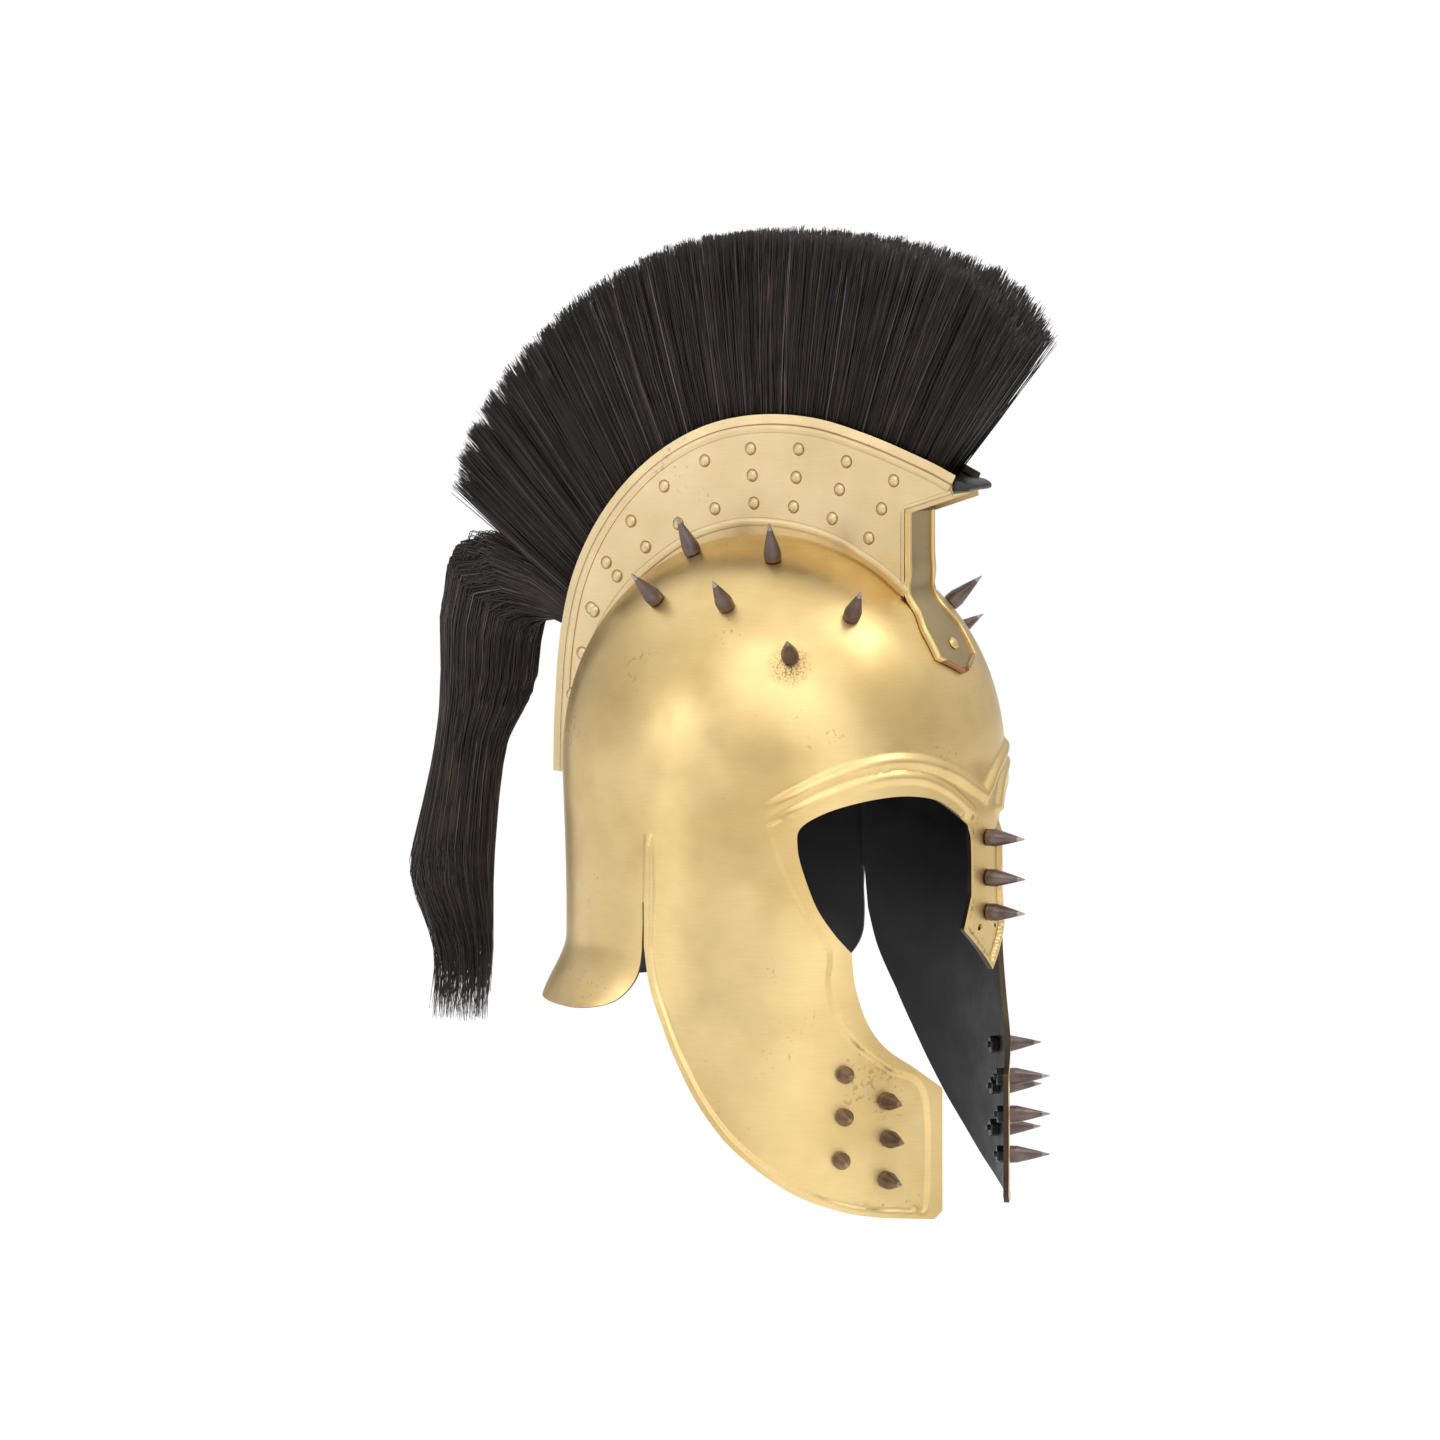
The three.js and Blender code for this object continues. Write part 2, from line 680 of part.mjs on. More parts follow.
function nasalRimRegion() {
  const outer = nasalEdge(-NASAL_RIM_WIDTH / 2);
  const inner = nasalEdge(NASAL_RIM_WIDTH).reverse();
  const turn = turnAtReach(NASAL_RIM_WIDTH, -NASAL_DROP);
  const tip = { turn: 2 * turn, height: -NASAL_DROP - CUT_MARGIN };
  const innerTip = { turn, height: -NASAL_DROP + 2 * NASAL_RIM_WIDTH };
  return [...outer, tip, innerTip, ...inner];
}

// Studs
function studProfile() {
  const nutFace = -WALL - NUT_GAP;
  return [
    [0, nutFace - NUT_THICKNESS],
    [NUT_RADIUS, nutFace - NUT_THICKNESS],
    [NUT_RADIUS, nutFace],
    [SHANK_RADIUS, nutFace],
    [SHANK_RADIUS, SEAT_GAP],
    [STUD_RADIUS, SEAT_GAP],
    [STUD_RADIUS, SEAT_GAP + STUD_SHOULDER],
    [0, STUD_LENGTH],
  ].map(([radius, height]) => new THREE.Vector2(radius, height));
}

function placed(geometry, point, direction) {
  const turn = new THREE.Quaternion();
  turn.setFromUnitVectors(new THREE.Vector3(0, 1, 0), direction);
  return geometry.clone().applyQuaternion(turn).translate(point.x, point.y, point.z);
}

function studPlaces() {
  const places = [];
  SIDES.forEach((side) => {
    const word = side === RIGHT ? 'right' : 'left';
    BOWL_STUDS.forEach(({ name, turn, rise }) => {
      places.push({ name: `stud_${word}_${name}`, turn: side * turn, level: levelAt(rise * BOWL_RISE) });
    });
    CHEEK_STUDS.forEach(({ name, turn, drop }) => {
      places.push({ name: `stud_${word}_cheek_${name}`, turn: side * turn, level: -drop });
    });
  });
  NASAL_STUD_DROPS.forEach((share, i) => {
    places.push({ name: `stud_nasal_${i + 1}`, turn: 0, level: levelAt(-share * NASAL_DROP) });
  });
  return places.map(({ name, turn, level }) => ({
    name,
    point: sheetPoint(turn, level),
    direction: sheetNormal(turn, level),
  }));
}

// Drill whose flat sides keep the stated radius
function drillGeometry(radius) {
  const corner = radius / Math.cos(Math.PI / HOLE_SIDES);
  return new THREE.CylinderGeometry(corner, corner, DRILL_LENGTH, HOLE_SIDES);
}

// Helmet shell: bowl, neck guard, cheek guards and nasal guard in one sheet
function shellSolid() {
  const bottom = CHEEK_DROP + 2 * CUT_MARGIN;
  const raised = bowlSolid(RELIEF, bottom);
  const regions = [borderRegion(), ridgeRegion(UPPER_RIDGE), flangeRegion(), nasalRimRegion()];
  let reliefs = null;
  regions.forEach((region) => {
    SIDES.forEach((side) => {
      const relief = raised.intersect(radialSolid(mirrored(region, side)));
      reliefs = reliefs ? reliefs.add(relief) : relief;
    });
  });
  let shell = bowlSolid(0, bottom).add(reliefs).subtract(bowlSolid(-WALL, bottom + CUT_MARGIN));
  SIDES.forEach((side) => {
    shell = shell.subtract(radialSolid(mirrored(faceOpening(), side)));
    shell = shell.subtract(radialSolid(mirrored(sideOpening(), side)));
    shell = shell.subtract(radialSolid(mirrored(neckOpening(), side)));
  });
  const drill = drillGeometry(SHANK_RADIUS + SHANK_CLEARANCE);
  [...studPlaces(), ...rivetPlaces()].forEach(({ point, direction }) => {
    shell = shell.subtract(solidOf(placed(drill, point, direction)));
  });
  const level = levelAt(-NASAL_SHOULDER_DROP);
  SIDES.forEach((side) => {
    const turn = side * turnAtReach(NASAL_HOLE_SPACING / 2, -NASAL_SHOULDER_DROP);
    const hole = drillGeometry(NASAL_HOLE_RADIUS);
    shell = shell.subtract(solidOf(placed(hole, sheetPoint(turn, level), sheetNormal(turn, level))));
  });
  return shell;
}

// Crest holder. Over the crown a place is a turn from straight ahead and a radius
function bowlRadius(turn) {
  const angle = radians(turn);
  const rise = Math.sin(angle) > 0 ? (Math.sin(angle) / BOWL_RISE) ** BOWL_FULLNESS : 0;
  const reach = (Math.abs(Math.cos(angle)) / BOWL_HALF_LENGTH) ** BOWL_FULLNESS;
  return (rise + reach) ** (-1 / BOWL_FULLNESS);
}

function lowerRadius(turn) {
  const lift = tableValue(HOLDER_LIFT, 'turn', 'lift', turn) * (CROWN_GAP - HOLDER_END_GAP);
  return bowlRadius(turn) + HOLDER_END_GAP + lift;
}

function upperRadius(turn) {
  return bowlRadius(turn) + HOLDER_HEIGHT * tableValue(HOLDER_EDGE, 'turn', 'height', turn);
}

function polar(turn, radius) {
  return [-radius * Math.cos(radians(turn)), radius * Math.sin(radians(turn))];
}

function turnsBetween(start, end, steps) {
  return Array.from({ length: steps + 1 }, (_, i) => THREE.MathUtils.lerp(start, end, i / steps));
}

// Turn at which the lower edge stands a given distance ahead of the middle
function turnAtFront(front) {
  let turn = 30;
  while (lowerRadius(turn) * Math.cos(radians(turn)) > front) {
    turn += 0.05;
  }
  return turn;
}

function holderOutline(inset, over) {
  const front = HOLDER_FRONT - inset;
  const start = turnAtFront(front);
  const end = HOLDER_REAR_TURN - THREE.MathUtils.radToDeg(inset / BOWL_HALF_LENGTH);
  const turns = turnsBetween(start, end, HOLDER_STEPS);
  const lower = turns.map((turn) => polar(turn, lowerRadius(turn) + inset));
  const upper = turnsBetween(end, HOLDER_EDGE[0].turn, HOLDER_STEPS);
  return [
    [-front, HOLDER_THROAT_LEVEL + inset],
    ...lower,
    ...upper.map((turn) => polar(turn, upperRadius(turn) + over)),
    [-HOLDER_LIP_REACH - over, HOLDER_LIP_LEVEL + HOLDER_LIP_HEIGHT + over],
    [-HOLDER_LIP_REACH - over, HOLDER_LIP_LEVEL + inset],
  ];
}

function rimOutline(lowEdge, highEdge, start) {
  const turns = turnsBetween(start, HOLDER_REAR_TURN, RIM_STEPS);
  const low = turns.map((turn) => polar(turn, lowEdge(turn)));
  const high = turns.map((turn) => polar(turn, highEdge(turn)));
  return [...low, ...high.reverse()];
}

function bossPlaces() {
  const places = [];
  BOSS_ROWS.forEach(({ place, count }) => {
    for (let i = 0; i < count; i += 1) {
      const turn = BOSS_START_TURN + BOSS_STEP * i;
      const low = lowerRadius(turn) + BOSS_MARGIN * 0.8;
      const high = Math.max(upperRadius(turn) - BOSS_MARGIN, lowerRadius(turn) + BOSS_RADIUS * 2.2);
      places.push(polar(turn, THREE.MathUtils.lerp(low, high, place)));
    }
  });
  return places;
}

function bossProfile() {
  return [
    [0, -HOLDER_SHEET / 2],
    [BOSS_RADIUS, -HOLDER_SHEET / 2],
    [BOSS_RADIUS, 0.1 * BOSS_HEIGHT],
    [0, BOSS_HEIGHT],
  ].map(([radius, height]) => new THREE.Vector2(radius, height));
}

function holderSolid() {
  const half = HOLDER_WIDTH / 2;
  const pocketHalf = half - HOLDER_SHEET;
  const pocket = plateSolid(holderOutline(HOLDER_SHEET, CUT_MARGIN), -pocketHalf, pocketHalf);
  let holder = plateSolid(holderOutline(0, 0), -half, half);
  const boss = new THREE.LatheGeometry(bossProfile(), BOSS_SIDES);
  SIDES.forEach((side) => {
    const inner = side * (half - HOLDER_SHEET / 2);
    const outer = side * (half + RIM_HEIGHT);
    const [low, high] = side === RIGHT ? [outer, inner] : [inner, outer];
    const topStart = HOLDER_EDGE[0].turn + RIM_START_GAP;
    const top = rimOutline((turn) => upperRadius(turn) - TOP_RIM_WIDTH, upperRadius, topStart);
    const lowEdge = (turn) => lowerRadius(turn) + LOW_RIM_WIDTH;
    const bottom = rimOutline(lowerRadius, lowEdge, turnAtFront(HOLDER_FRONT) + RIM_START_GAP);
    holder = holder.add(plateSolid(top, low, high)).add(plateSolid(bottom, low, high));
    bossPlaces().forEach(([y, z]) => {
      const point = new THREE.Vector3(side * half, y, z);
      holder = holder.add(solidOf(placed(boss, point, new THREE.Vector3(side, 0, 0))));
    });
  });
  holder = holder.subtract(pocket);
  const rear = rivetPlaces()[1];
  const hole = drillGeometry(SHANK_RADIUS + SHANK_CLEARANCE);
  return holder.subtract(solidOf(placed(hole, rear.point, rear.direction)));
}

// Front strap: down the holder's front, then along the bowl to a pointed foot
function strapStations() {
  const clear = HOLDER_FRONT + PART_GAP;
  const startTurn = turnAtFront(clear + STRAP_BEND);
  const tipTurn = 90 - STRAP_TIP_DROP;
  const lying = (turn) => bowlRadius(turn) + HOLDER_END_GAP;
  const foot = [0, 0.25, 0.5, 0.72, 0.84].map((share) => {
    const turn = THREE.MathUtils.lerp(startTurn, tipTurn, share);
    const widen = 0.2 + 0.8 * smooth(share / 0.4);
    return { spot: polar(turn, lying(turn)), half: strapHalfWidth(widen) };
  });
  const [upperDrop, lowerDrop] = STRAP_BEND_DROPS;
  return [
    { spot: [-clear, HOLDER_THROAT_LEVEL - STRAP_TOP_GAP], half: strapHalfWidth(0) },
    { spot: [-clear, HOLDER_THROAT_LEVEL - upperDrop], half: strapHalfWidth(0) },
    { spot: [-clear, HOLDER_THROAT_LEVEL - lowerDrop], half: strapHalfWidth(0.1) },
    ...foot,
    { spot: polar(tipTurn, lying(tipTurn)), half: STRAP_TIP_HALF_WIDTH },
  ];
}

function strapHalfWidth(widen) {
  return THREE.MathUtils.lerp(STRAP_HALF_WIDTH, STRAP_FOOT_HALF_WIDTH, widen);
}

// How far the bowl falls away beside the middle plane, from a spot on it and along its normal
function sagAt(reach, [y, z], out) {
  let near = 0;
  let far = STRAP_HALF_WIDTH;
  for (let i = 0; i < 24; i += 1) {
    const sag = (near + far) / 2;
    const depth = sag + HOLDER_END_GAP;
    const across = (reach / BOWL_HALF_WIDTH) ** 2;
    const ahead = ((y - out.x * depth) / BOWL_HALF_LENGTH) ** 2;
    const above = (Math.max(z - out.y * depth, 0) / BOWL_RISE) ** BOWL_FULLNESS;
    if ((across + ahead) ** (BOWL_FULLNESS / 2) + above > 1) {
      near = sag;
    } else {
      far = sag;
    }
  }
  return near;
}

function strapSolid() {
  const stations = strapStations();
  const rings = stations.map(({ spot: [y, z], half }, i) => {
    const before = stations[Math.max(i - 1, 0)].spot;
    const after = stations[Math.min(i + 1, stations.length - 1)].spot;
    const along = new THREE.Vector2(after[0] - before[0], after[1] - before[1]).normalize();
    const out = new THREE.Vector2(along.y, -along.x);
    const sag = i > 2 ? sagAt(half, [y, z], out) : 0;
    const rim = Math.min(STRAP_RIM_WIDTH, half * 0.6);
    const face = STRAP_SHEET - sag * (1 - rim / half) ** 2;
    const top = STRAP_SHEET + STRAP_RIM_HEIGHT - sag;
    const profile = [
      [-half, -sag], [0, 0], [half, -sag], [half, top], [half - rim, top], [half - rim, face],
      [0, STRAP_SHEET], [rim - half, face], [rim - half, top], [-half, top],
    ];
    const ring = profile.map(([x, rise]) => new THREE.Vector3(x, y + out.x * rise, z + out.y * rise));
    return { flat: profile.map(([x, rise]) => new THREE.Vector2(x, rise)), ring };
  });
  const strap = prismSolid(rings[0].flat, rings.map(({ ring }) => ring));
  const front = rivetPlaces()[0];
  const hole = drillGeometry(SHANK_RADIUS + SHANK_CLEARANCE);
  return strap.subtract(solidOf(placed(hole, front.point, front.direction)));
}

function rivetPlaces() {
  const frontTurn = 90 - STRAP_TIP_DROP + FRONT_RIVET_TURN;
  const rearTurn = HOLDER_REAR_TURN - REAR_RIVET_TURN;
  return [frontTurn, rearTurn].map((turn, i) => {
    const level = levelAt(bowlRadius(turn) * Math.sin(radians(turn)));
    const around = i === 0 ? 0 : 180;
    return { point: sheetPoint(around, level), direction: sheetNormal(around, level) };
  });
}

// Rivet through the bowl and the sheet that lies on it, with a head at both ends
function rivetGeometry(stack) {
  const inside = -WALL - NUT_GAP;
  const outside = stack + SEAT_GAP;
  const profile = [
    [0, inside - RIVET_HEAD],
    [RIVET_RADIUS, inside - RIVET_HEAD],
    [RIVET_RADIUS, inside],
    [SHANK_RADIUS, inside],
    [SHANK_RADIUS, outside],
    [RIVET_RADIUS, outside],
    [RIVET_RADIUS * 0.7, outside + RIVET_HEAD * 0.75],
    [0, outside + RIVET_HEAD],
  ];
  return new THREE.LatheGeometry(profile.map(([r, h]) => new THREE.Vector2(r, h)), STUD_SIDES);
}

// Plume: a base in the holder's channel and a fan of locks that stand on it
function hairTurn(place) {
  return THREE.MathUtils.lerp(HAIR_FRONT_TURN, HAIR_REAR_TURN, place);
}

function hairTip(place, share) {
  const turn = THREE.MathUtils.lerp(HAIR_FRONT_TURN, HAIR_REAR_TIP_TURN, place);
  const edge = Math.max(hairTurn(place), HOLDER_EDGE[0].turn);
  const length = HAIR_LENGTH * tableValue(HAIR_EDGE, 'place', 'length', place) * share;
  return polar(turn, upperRadius(edge) + length);
}

function plumeBaseOutline() {
  const start = HOLDER_EDGE[0].turn + 2 * RIM_START_GAP;
  const turns = turnsBetween(start, HAIR_REAR_TURN, RIM_STEPS);
  const noseLevel = HOLDER_LIP_LEVEL + HOLDER_SHEET + PART_GAP;
  return [
    ...turns.map((turn) => polar(turn, upperRadius(turn) - PLUME_BASE_DEPTH)),
    ...[...turns].reverse().map((turn) => polar(turn, upperRadius(turn) - PLUME_BASE_SINK)),
    [-HOLDER_LIP_REACH, HOLDER_LIP_LEVEL + HOLDER_LIP_HEIGHT + PLUME_NOSE_RISE],
    [-PLUME_NOSE_REACH, HOLDER_LIP_LEVEL + HOLDER_LIP_HEIGHT + PLUME_NOSE_RISE / 2],
    [-PLUME_NOSE_REACH, noseLevel],
    [-HOLDER_LIP_REACH + PLUME_NOSE_DEPTH, noseLevel],
  ];
}

function lockSolid(place, span, reach) {
  const rootHalf = HOLDER_WIDTH / 2 - HOLDER_SHEET - 3 * PART_GAP;
  const ring = (share, halfTurn, half) => {
    const corner = (step, x) => {
      const at = THREE.MathUtils.clamp(place + step, 0, 1);
      const turn = Math.max(hairTurn(at), HOLDER_EDGE[0].turn + RIM_START_GAP);
      const root = polar(turn, upperRadius(turn) - LOCK_ROOT_SINK);
      const tip = hairTip(at, reach);
      const y = THREE.MathUtils.lerp(root[0], tip[0], share);
      return new THREE.Vector3(x, y, THREE.MathUtils.lerp(root[1], tip[1], share));
    };
    return [corner(-halfTurn, -half), corner(halfTurn, -half), corner(halfTurn, half),
      corner(-halfTurn, half)];
  };
  return loftSolid([
    ring(0, span, rootHalf),
    ring(LOCK_FULL_SHARE, span, HAIR_HALF_SPREAD),
    ring(1, span / 2, HAIR_HALF_SPREAD - LOCK_TIP_INSET),
  ]);
}

// Plane that parts the fan from the tail, as a block on one side of it
function partingSolid(shift, above) {
  const low = polar(HAIR_REAR_TURN, upperRadius(HAIR_REAR_TURN) - PLUME_BASE_DEPTH - LOCK_ROOT_SINK);
  const high = hairTip(1, 1);
  const along = new THREE.Vector2(high[0] - low[0], high[1] - low[1]).normalize();
  const up = new THREE.Vector2(-along.y, along.x);
  const reach = 3 * HAIR_LENGTH;
  const depth = above ? reach : -reach;
  const corner = (a, b) => [low[0] + along.x * a + up.x * b, low[1] + along.y * a + up.y * b];
  const outline = [corner(-reach, shift), corner(reach, shift), corner(reach, shift + depth),
    corner(-reach, shift + depth)];
  return plateSolid(outline, -reach, reach);
}

function plumeSolid() {
  const half = HOLDER_WIDTH / 2 - HOLDER_SHEET - PART_GAP;
  let plume = plateSolid(plumeBaseOutline(), -half, half);
  const span = LOCK_SPAN / LOCK_COUNT;
  for (let i = 0; i < LOCK_COUNT; i += 1) {
    const reach = 1 - 0.025 * ((i * 2) % 3);
    plume = plume.add(lockSolid((i + 0.5) / LOCK_COUNT, span, reach));
  }
  return plume.subtract(partingSolid(0, false));
}

// Tail: locks round one middle line that hangs behind the neck guard
function tailRoot() {
  const turn = HAIR_REAR_TURN + TAIL_HEAD_TURN / 2;
  return polar(turn, upperRadius(turn) - PLUME_BASE_DEPTH / 2);
}

function tailLockSolid(index) {
  const [rootY, rootZ] = tailRoot();
  const around = (2 * Math.PI * index) / TAIL_LOCKS;
  const rootHalf = HOLDER_WIDTH / 2 - HOLDER_SHEET - PART_GAP;
  const rings = TAIL_LINE.map(({ back, down, size, tilt }) => {
    const deep = new THREE.Vector3(0, Math.cos(radians(tilt)), Math.sin(radians(tilt)));
    const middle = new THREE.Vector3(0, rootY + back * TAIL_LENGTH, rootZ - down * TAIL_LENGTH);
    const sway = around + TAIL_TWIST * Math.max(down, 0);
    const depth = TAIL_HALF_DEPTH * size;
    const width = Math.min(TAIL_HALF_WIDTH * size, rootHalf + TAIL_OPENING * back);
    middle.addScaledVector(deep, depth * TAIL_LOCK_SPREAD * Math.cos(sway));
    middle.x += width * TAIL_LOCK_SPREAD * Math.sin(sway);
    return Array.from({ length: TAIL_SIDES }, (_, corner) => {
      const angle = (2 * Math.PI * corner) / TAIL_SIDES;
      const point = middle.clone();
      point.addScaledVector(deep, depth * TAIL_LOCK_SIZE * Math.cos(angle));
      point.x += width * TAIL_LOCK_SIZE * Math.sin(angle);
      return point;
    });
  });
  return loftSolid(rings);
}

// Block that holds the tail's root between the holder's plates
function tailHeadSolid() {
  const half = HOLDER_WIDTH / 2 - HOLDER_SHEET - PART_GAP;
  const turns = turnsBetween(HAIR_REAR_TURN, HAIR_REAR_TURN + TAIL_HEAD_TURN, 4);
  const floor = turns.map((turn) => polar(turn, lowerRadius(turn) + HOLDER_SHEET + PART_GAP));
  const top = [...turns].reverse().map((turn) => polar(turn, upperRadius(turn) - PLUME_BASE_SINK));
  return plateSolid([...floor, ...top], -half, half);
}

function tailSolid() {
  let tail = tailHeadSolid();
  for (let i = 0; i < TAIL_LOCKS; i += 1) {
    tail = tail.add(tailLockSolid(i));
  }
  return tail.subtract(partingSolid(-PART_GAP, true));
}

// Assembly
const helmet = new THREE.Group();
helmet.position.z = WALL - BOWL_RISE;

function geometryOf(solid) {
  const mesh = solid.getMesh();
  const geometry = new THREE.BufferGeometry();
  geometry.setAttribute('position', new THREE.BufferAttribute(mesh.vertProperties, 3));
  geometry.setIndex(new THREE.BufferAttribute(mesh.triVerts, 1));
  geometry.computeVertexNormals();
  return geometry;
}

function addMesh(name, geometry, material) {
  const mesh = new THREE.Mesh(geometry, material);
  mesh.name = name;
  helmet.add(mesh);
  return mesh;
}

addMesh('helmet_shell', geometryOf(shellSolid()), BRASS);
addMesh('crest_holder', geometryOf(holderSolid()), BRASS);
addMesh('front_strap', geometryOf(strapSolid()), BRASS);
addMesh('crest_plume', geometryOf(plumeSolid()), HAIR);
addMesh('plume_tail', geometryOf(tailSolid()), HAIR);

const rivetStacks = [HOLDER_END_GAP + STRAP_SHEET, HOLDER_END_GAP + HOLDER_SHEET];
rivetPlaces().forEach(({ point, direction }, i) => {
  const name = ['front_rivet', 'rear_rivet'][i];
  const geometry = placed(rivetGeometry(rivetStacks[i]), point, direction);
  addMesh(name, geometryOf(solidOf(geometry)), BRASS);
});

studPlaces().forEach(({ name, point, direction }) => {
  const stud = new THREE.LatheGeometry(studProfile(), STUD_SIDES);
  addMesh(name, geometryOf(solidOf(placed(stud, point, direction))), BRONZE);
});

export default helmet;
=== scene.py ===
"""Looks of the crested helmet. Lengths here are millimetres from the middle of the bowl's widest
level, and place() turns them into the frame's metres."""

import math

import bmesh
import bpy
import numpy as np
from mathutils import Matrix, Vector
from mathutils.geometry import delaunay_2d_cdt


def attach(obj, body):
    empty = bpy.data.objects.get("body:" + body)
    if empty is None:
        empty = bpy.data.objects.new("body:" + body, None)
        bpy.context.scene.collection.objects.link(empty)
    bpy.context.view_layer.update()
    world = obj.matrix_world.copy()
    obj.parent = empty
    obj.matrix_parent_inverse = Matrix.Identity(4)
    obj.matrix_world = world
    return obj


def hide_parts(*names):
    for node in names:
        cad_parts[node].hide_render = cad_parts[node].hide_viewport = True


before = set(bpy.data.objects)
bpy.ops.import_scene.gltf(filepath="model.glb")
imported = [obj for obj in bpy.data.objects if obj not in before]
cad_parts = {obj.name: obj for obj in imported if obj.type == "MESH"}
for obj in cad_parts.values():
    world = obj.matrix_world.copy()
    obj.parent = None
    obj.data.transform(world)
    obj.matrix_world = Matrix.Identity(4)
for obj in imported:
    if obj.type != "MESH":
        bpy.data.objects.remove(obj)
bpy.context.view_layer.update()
scene = bpy.context.scene
chance = np.random.default_rng(7)

# Bowl and guards
WALL = 1.2
BOWL_HALF_WIDTH = 100.0
BOWL_HALF_LENGTH = 115.0
BOWL_RISE = 117.0
FULLNESS = 2.15
CHEEK_DROP = 216.5
NECK_DROP = 115.5
NECK_FLARE = 12.5
FLARE_DEPTH = 31.0
SLIT_DROP = 60.0
SLIT_TURN = 98.35
POINT_DROP = 83.0
RELIEF = 1.5
FRAME_DROP = BOWL_RISE - WALL

# Nasal guard
NASAL_DROP = 95.0
NASAL_SHOULDER_DROP = 74.0
NASAL_HALF_WIDTH = 14.0
NASAL_SHOULDER_HALF_WIDTH = 18.4
NASAL_FORWARD = 5.0
NASAL_RIM_WIDTH = 3.0
NASAL_HOLE_RADIUS = 1.2
NASAL_HOLE_SPACING = 15.0

# Studs
STUD_LENGTH = 21.5
STUD_RADIUS = 4.3
STUD_SHOULDER = 5.0
SHANK_RADIUS = 1.5
NUT_RADIUS = 4.5
NUT_THICKNESS = 4.0
SEAT_GAP = 0.3
NUT_GAP = 0.9
NUT_SEAT = 0.15

# Crest holder
HOLDER_HALF = 12.4
HOLDER_SHEET = 1.2
HOLDER_HEIGHT = 56.0
HOLDER_FRONT = 79.0
LIP_REACH = 106.5
LIP_HEIGHT = 5.0
LIP_LEVEL = 141.0
THROAT_LEVEL = 132.0
REAR_TURN = 184.0
END_GAP = 0.4
CROWN_GAP = 3.6
BOSS_RADIUS = 3.0
BOSS_HEIGHT = 1.9
BOSS_STEP = 10.2
BOSS_START_TURN = 63.6
BOSS_MARGIN = 12.0

# Front strap and rivets
STRAP_SHEET = 1.2
STRAP_HALF = 12.2
STRAP_FOOT_HALF = 17.6
STRAP_RIM_WIDTH = 2.6
STRAP_RIM_HEIGHT = 1.6
STRAP_TIP_TURN = 26.0
RIVET_RADIUS = 3.2
RIVET_HEAD = 1.6
FRONT_RIVET_TURN = 33.5
REAR_RIVET_TURN = 174.0

# Hair
HAIR_LENGTH = 98.0
HAIR_FRONT_TURN = 55.5
HAIR_REAR_TURN = 147.0
HAIR_REAR_TIP_TURN = 144.6
HAIR_SPREAD = 21.0
TAIL_LENGTH = 205.0
TAIL_HEAD_TURN = 6.0
TAIL_HALF_DEPTH = 27.0
TAIL_HALF_WIDTH = 23.0
HAIR_CHANNEL_HALF = HOLDER_HALF - HOLDER_SHEET - 1
HAIR_ROOT_LEAD = 1.5
FAN_HAIRS = 8800
HAIR_STEPS = np.array([0, 0.45, 0.8, 1.0])
CORE_RING = [(-1, 0), (-1, 0.5), (-1, 0.9), (-0.6, 1), (0.6, 1), (1, 0.9), (1, 0.5), (1, 0)]
TAIL_HAIRS = 2500
TAIL_STEPS = 13

# Level sections of the guards: drop share, width share, front share, rear share, exponent
SECTIONS = np.array([
    (0.00, 1.000, 1.000, 1.000, 2.00),
    (0.30, 1.030, 1.006, 0.966, 1.93),
    (0.60, 1.080, 1.014, 0.957, 1.87),
    (0.83, 1.105, 1.021, 0.957, 1.83),
    (1.10, 1.095, 1.026, 0.957, 1.80),
])
# Outlines of one side: turn in degrees and drop as a share of the size named where each is used
EYE_EDGE = [(14.5, 0.160), (19.5, 0.100), (27.5, 0.072), (35.0, 0.078), (43.0, 0.110), (50.5, 0.165),
            (56.2, 0.250), (56.8, 0.360), (55.4, 0.500), (51.5, 0.730), (46.5, 0.900)]
MOUTH_EDGE = [(42.6, 0.383), (41.6, 0.455), (38.4, 0.540), (33.6, 0.600), (26.5, 0.645)]
CHEEK_FRONT_EDGE = [(17.8, 0.700), (18.2, 0.982), (20.5, 1.000)]
CHEEK_REAR_EDGE = [(34.3, 0.990), (44.2, 0.973), (56.4, 0.926), (69.3, 0.834), (77.9, 0.744),
                   (84.5, 0.653), (90.5, 0.560), (95.2, 0.470), (97.6, 0.380)]
NECK_EDGE = [(98.8, 0.620), (98.9, 0.740), (99.8, 0.830), (102.6, 0.905), (107.0, 0.962),
             (115.0, 0.993), (127.0, 1.000)]
BORDER_LINE = [(64.0, 0.098), (62.0, 0.150), (59.8, 0.200), (54.8, 0.282), (48.8, 0.360), (47.9, 0.400),
               (48.2, 0.450), (45.8, 0.530), (40.6, 0.593), (32.5, 0.650), (22.8, 0.712),
               (22.6, 0.960), (26.0, 0.972)]
# Crests of the brow ridges: turn and height as a share of the bowl's rise
UPPER_RIDGE = [(67.0, -0.125), (56.2, -0.030), (48.4, 0.030), (40.3, 0.072), (31.7, 0.094), (22.4, 0.082),
               (11.8, 0.030), (3.2, -0.045), (-1.5, -0.085)]
LOWER_RIDGE = [(64.5, -0.170), (56.0, -0.093), (48.0, -0.035), (40.0, 0.005), (31.5, 0.026),
               (22.5, 0.014), (14.0, -0.045), (7.5, -0.130)]
HOLDER_EDGE = np.array([
    (56.0, 1.080), (63.3, 1.015), (72.0, 0.985), (82.0, 0.990), (92.0, 0.975), (102.2, 0.925),
    (113.0, 0.825), (126.5, 0.670), (142.0, 0.480), (153.0, 0.340), (165.0, 0.230), (175.0, 0.198),
    (184.0, 0.198),
])
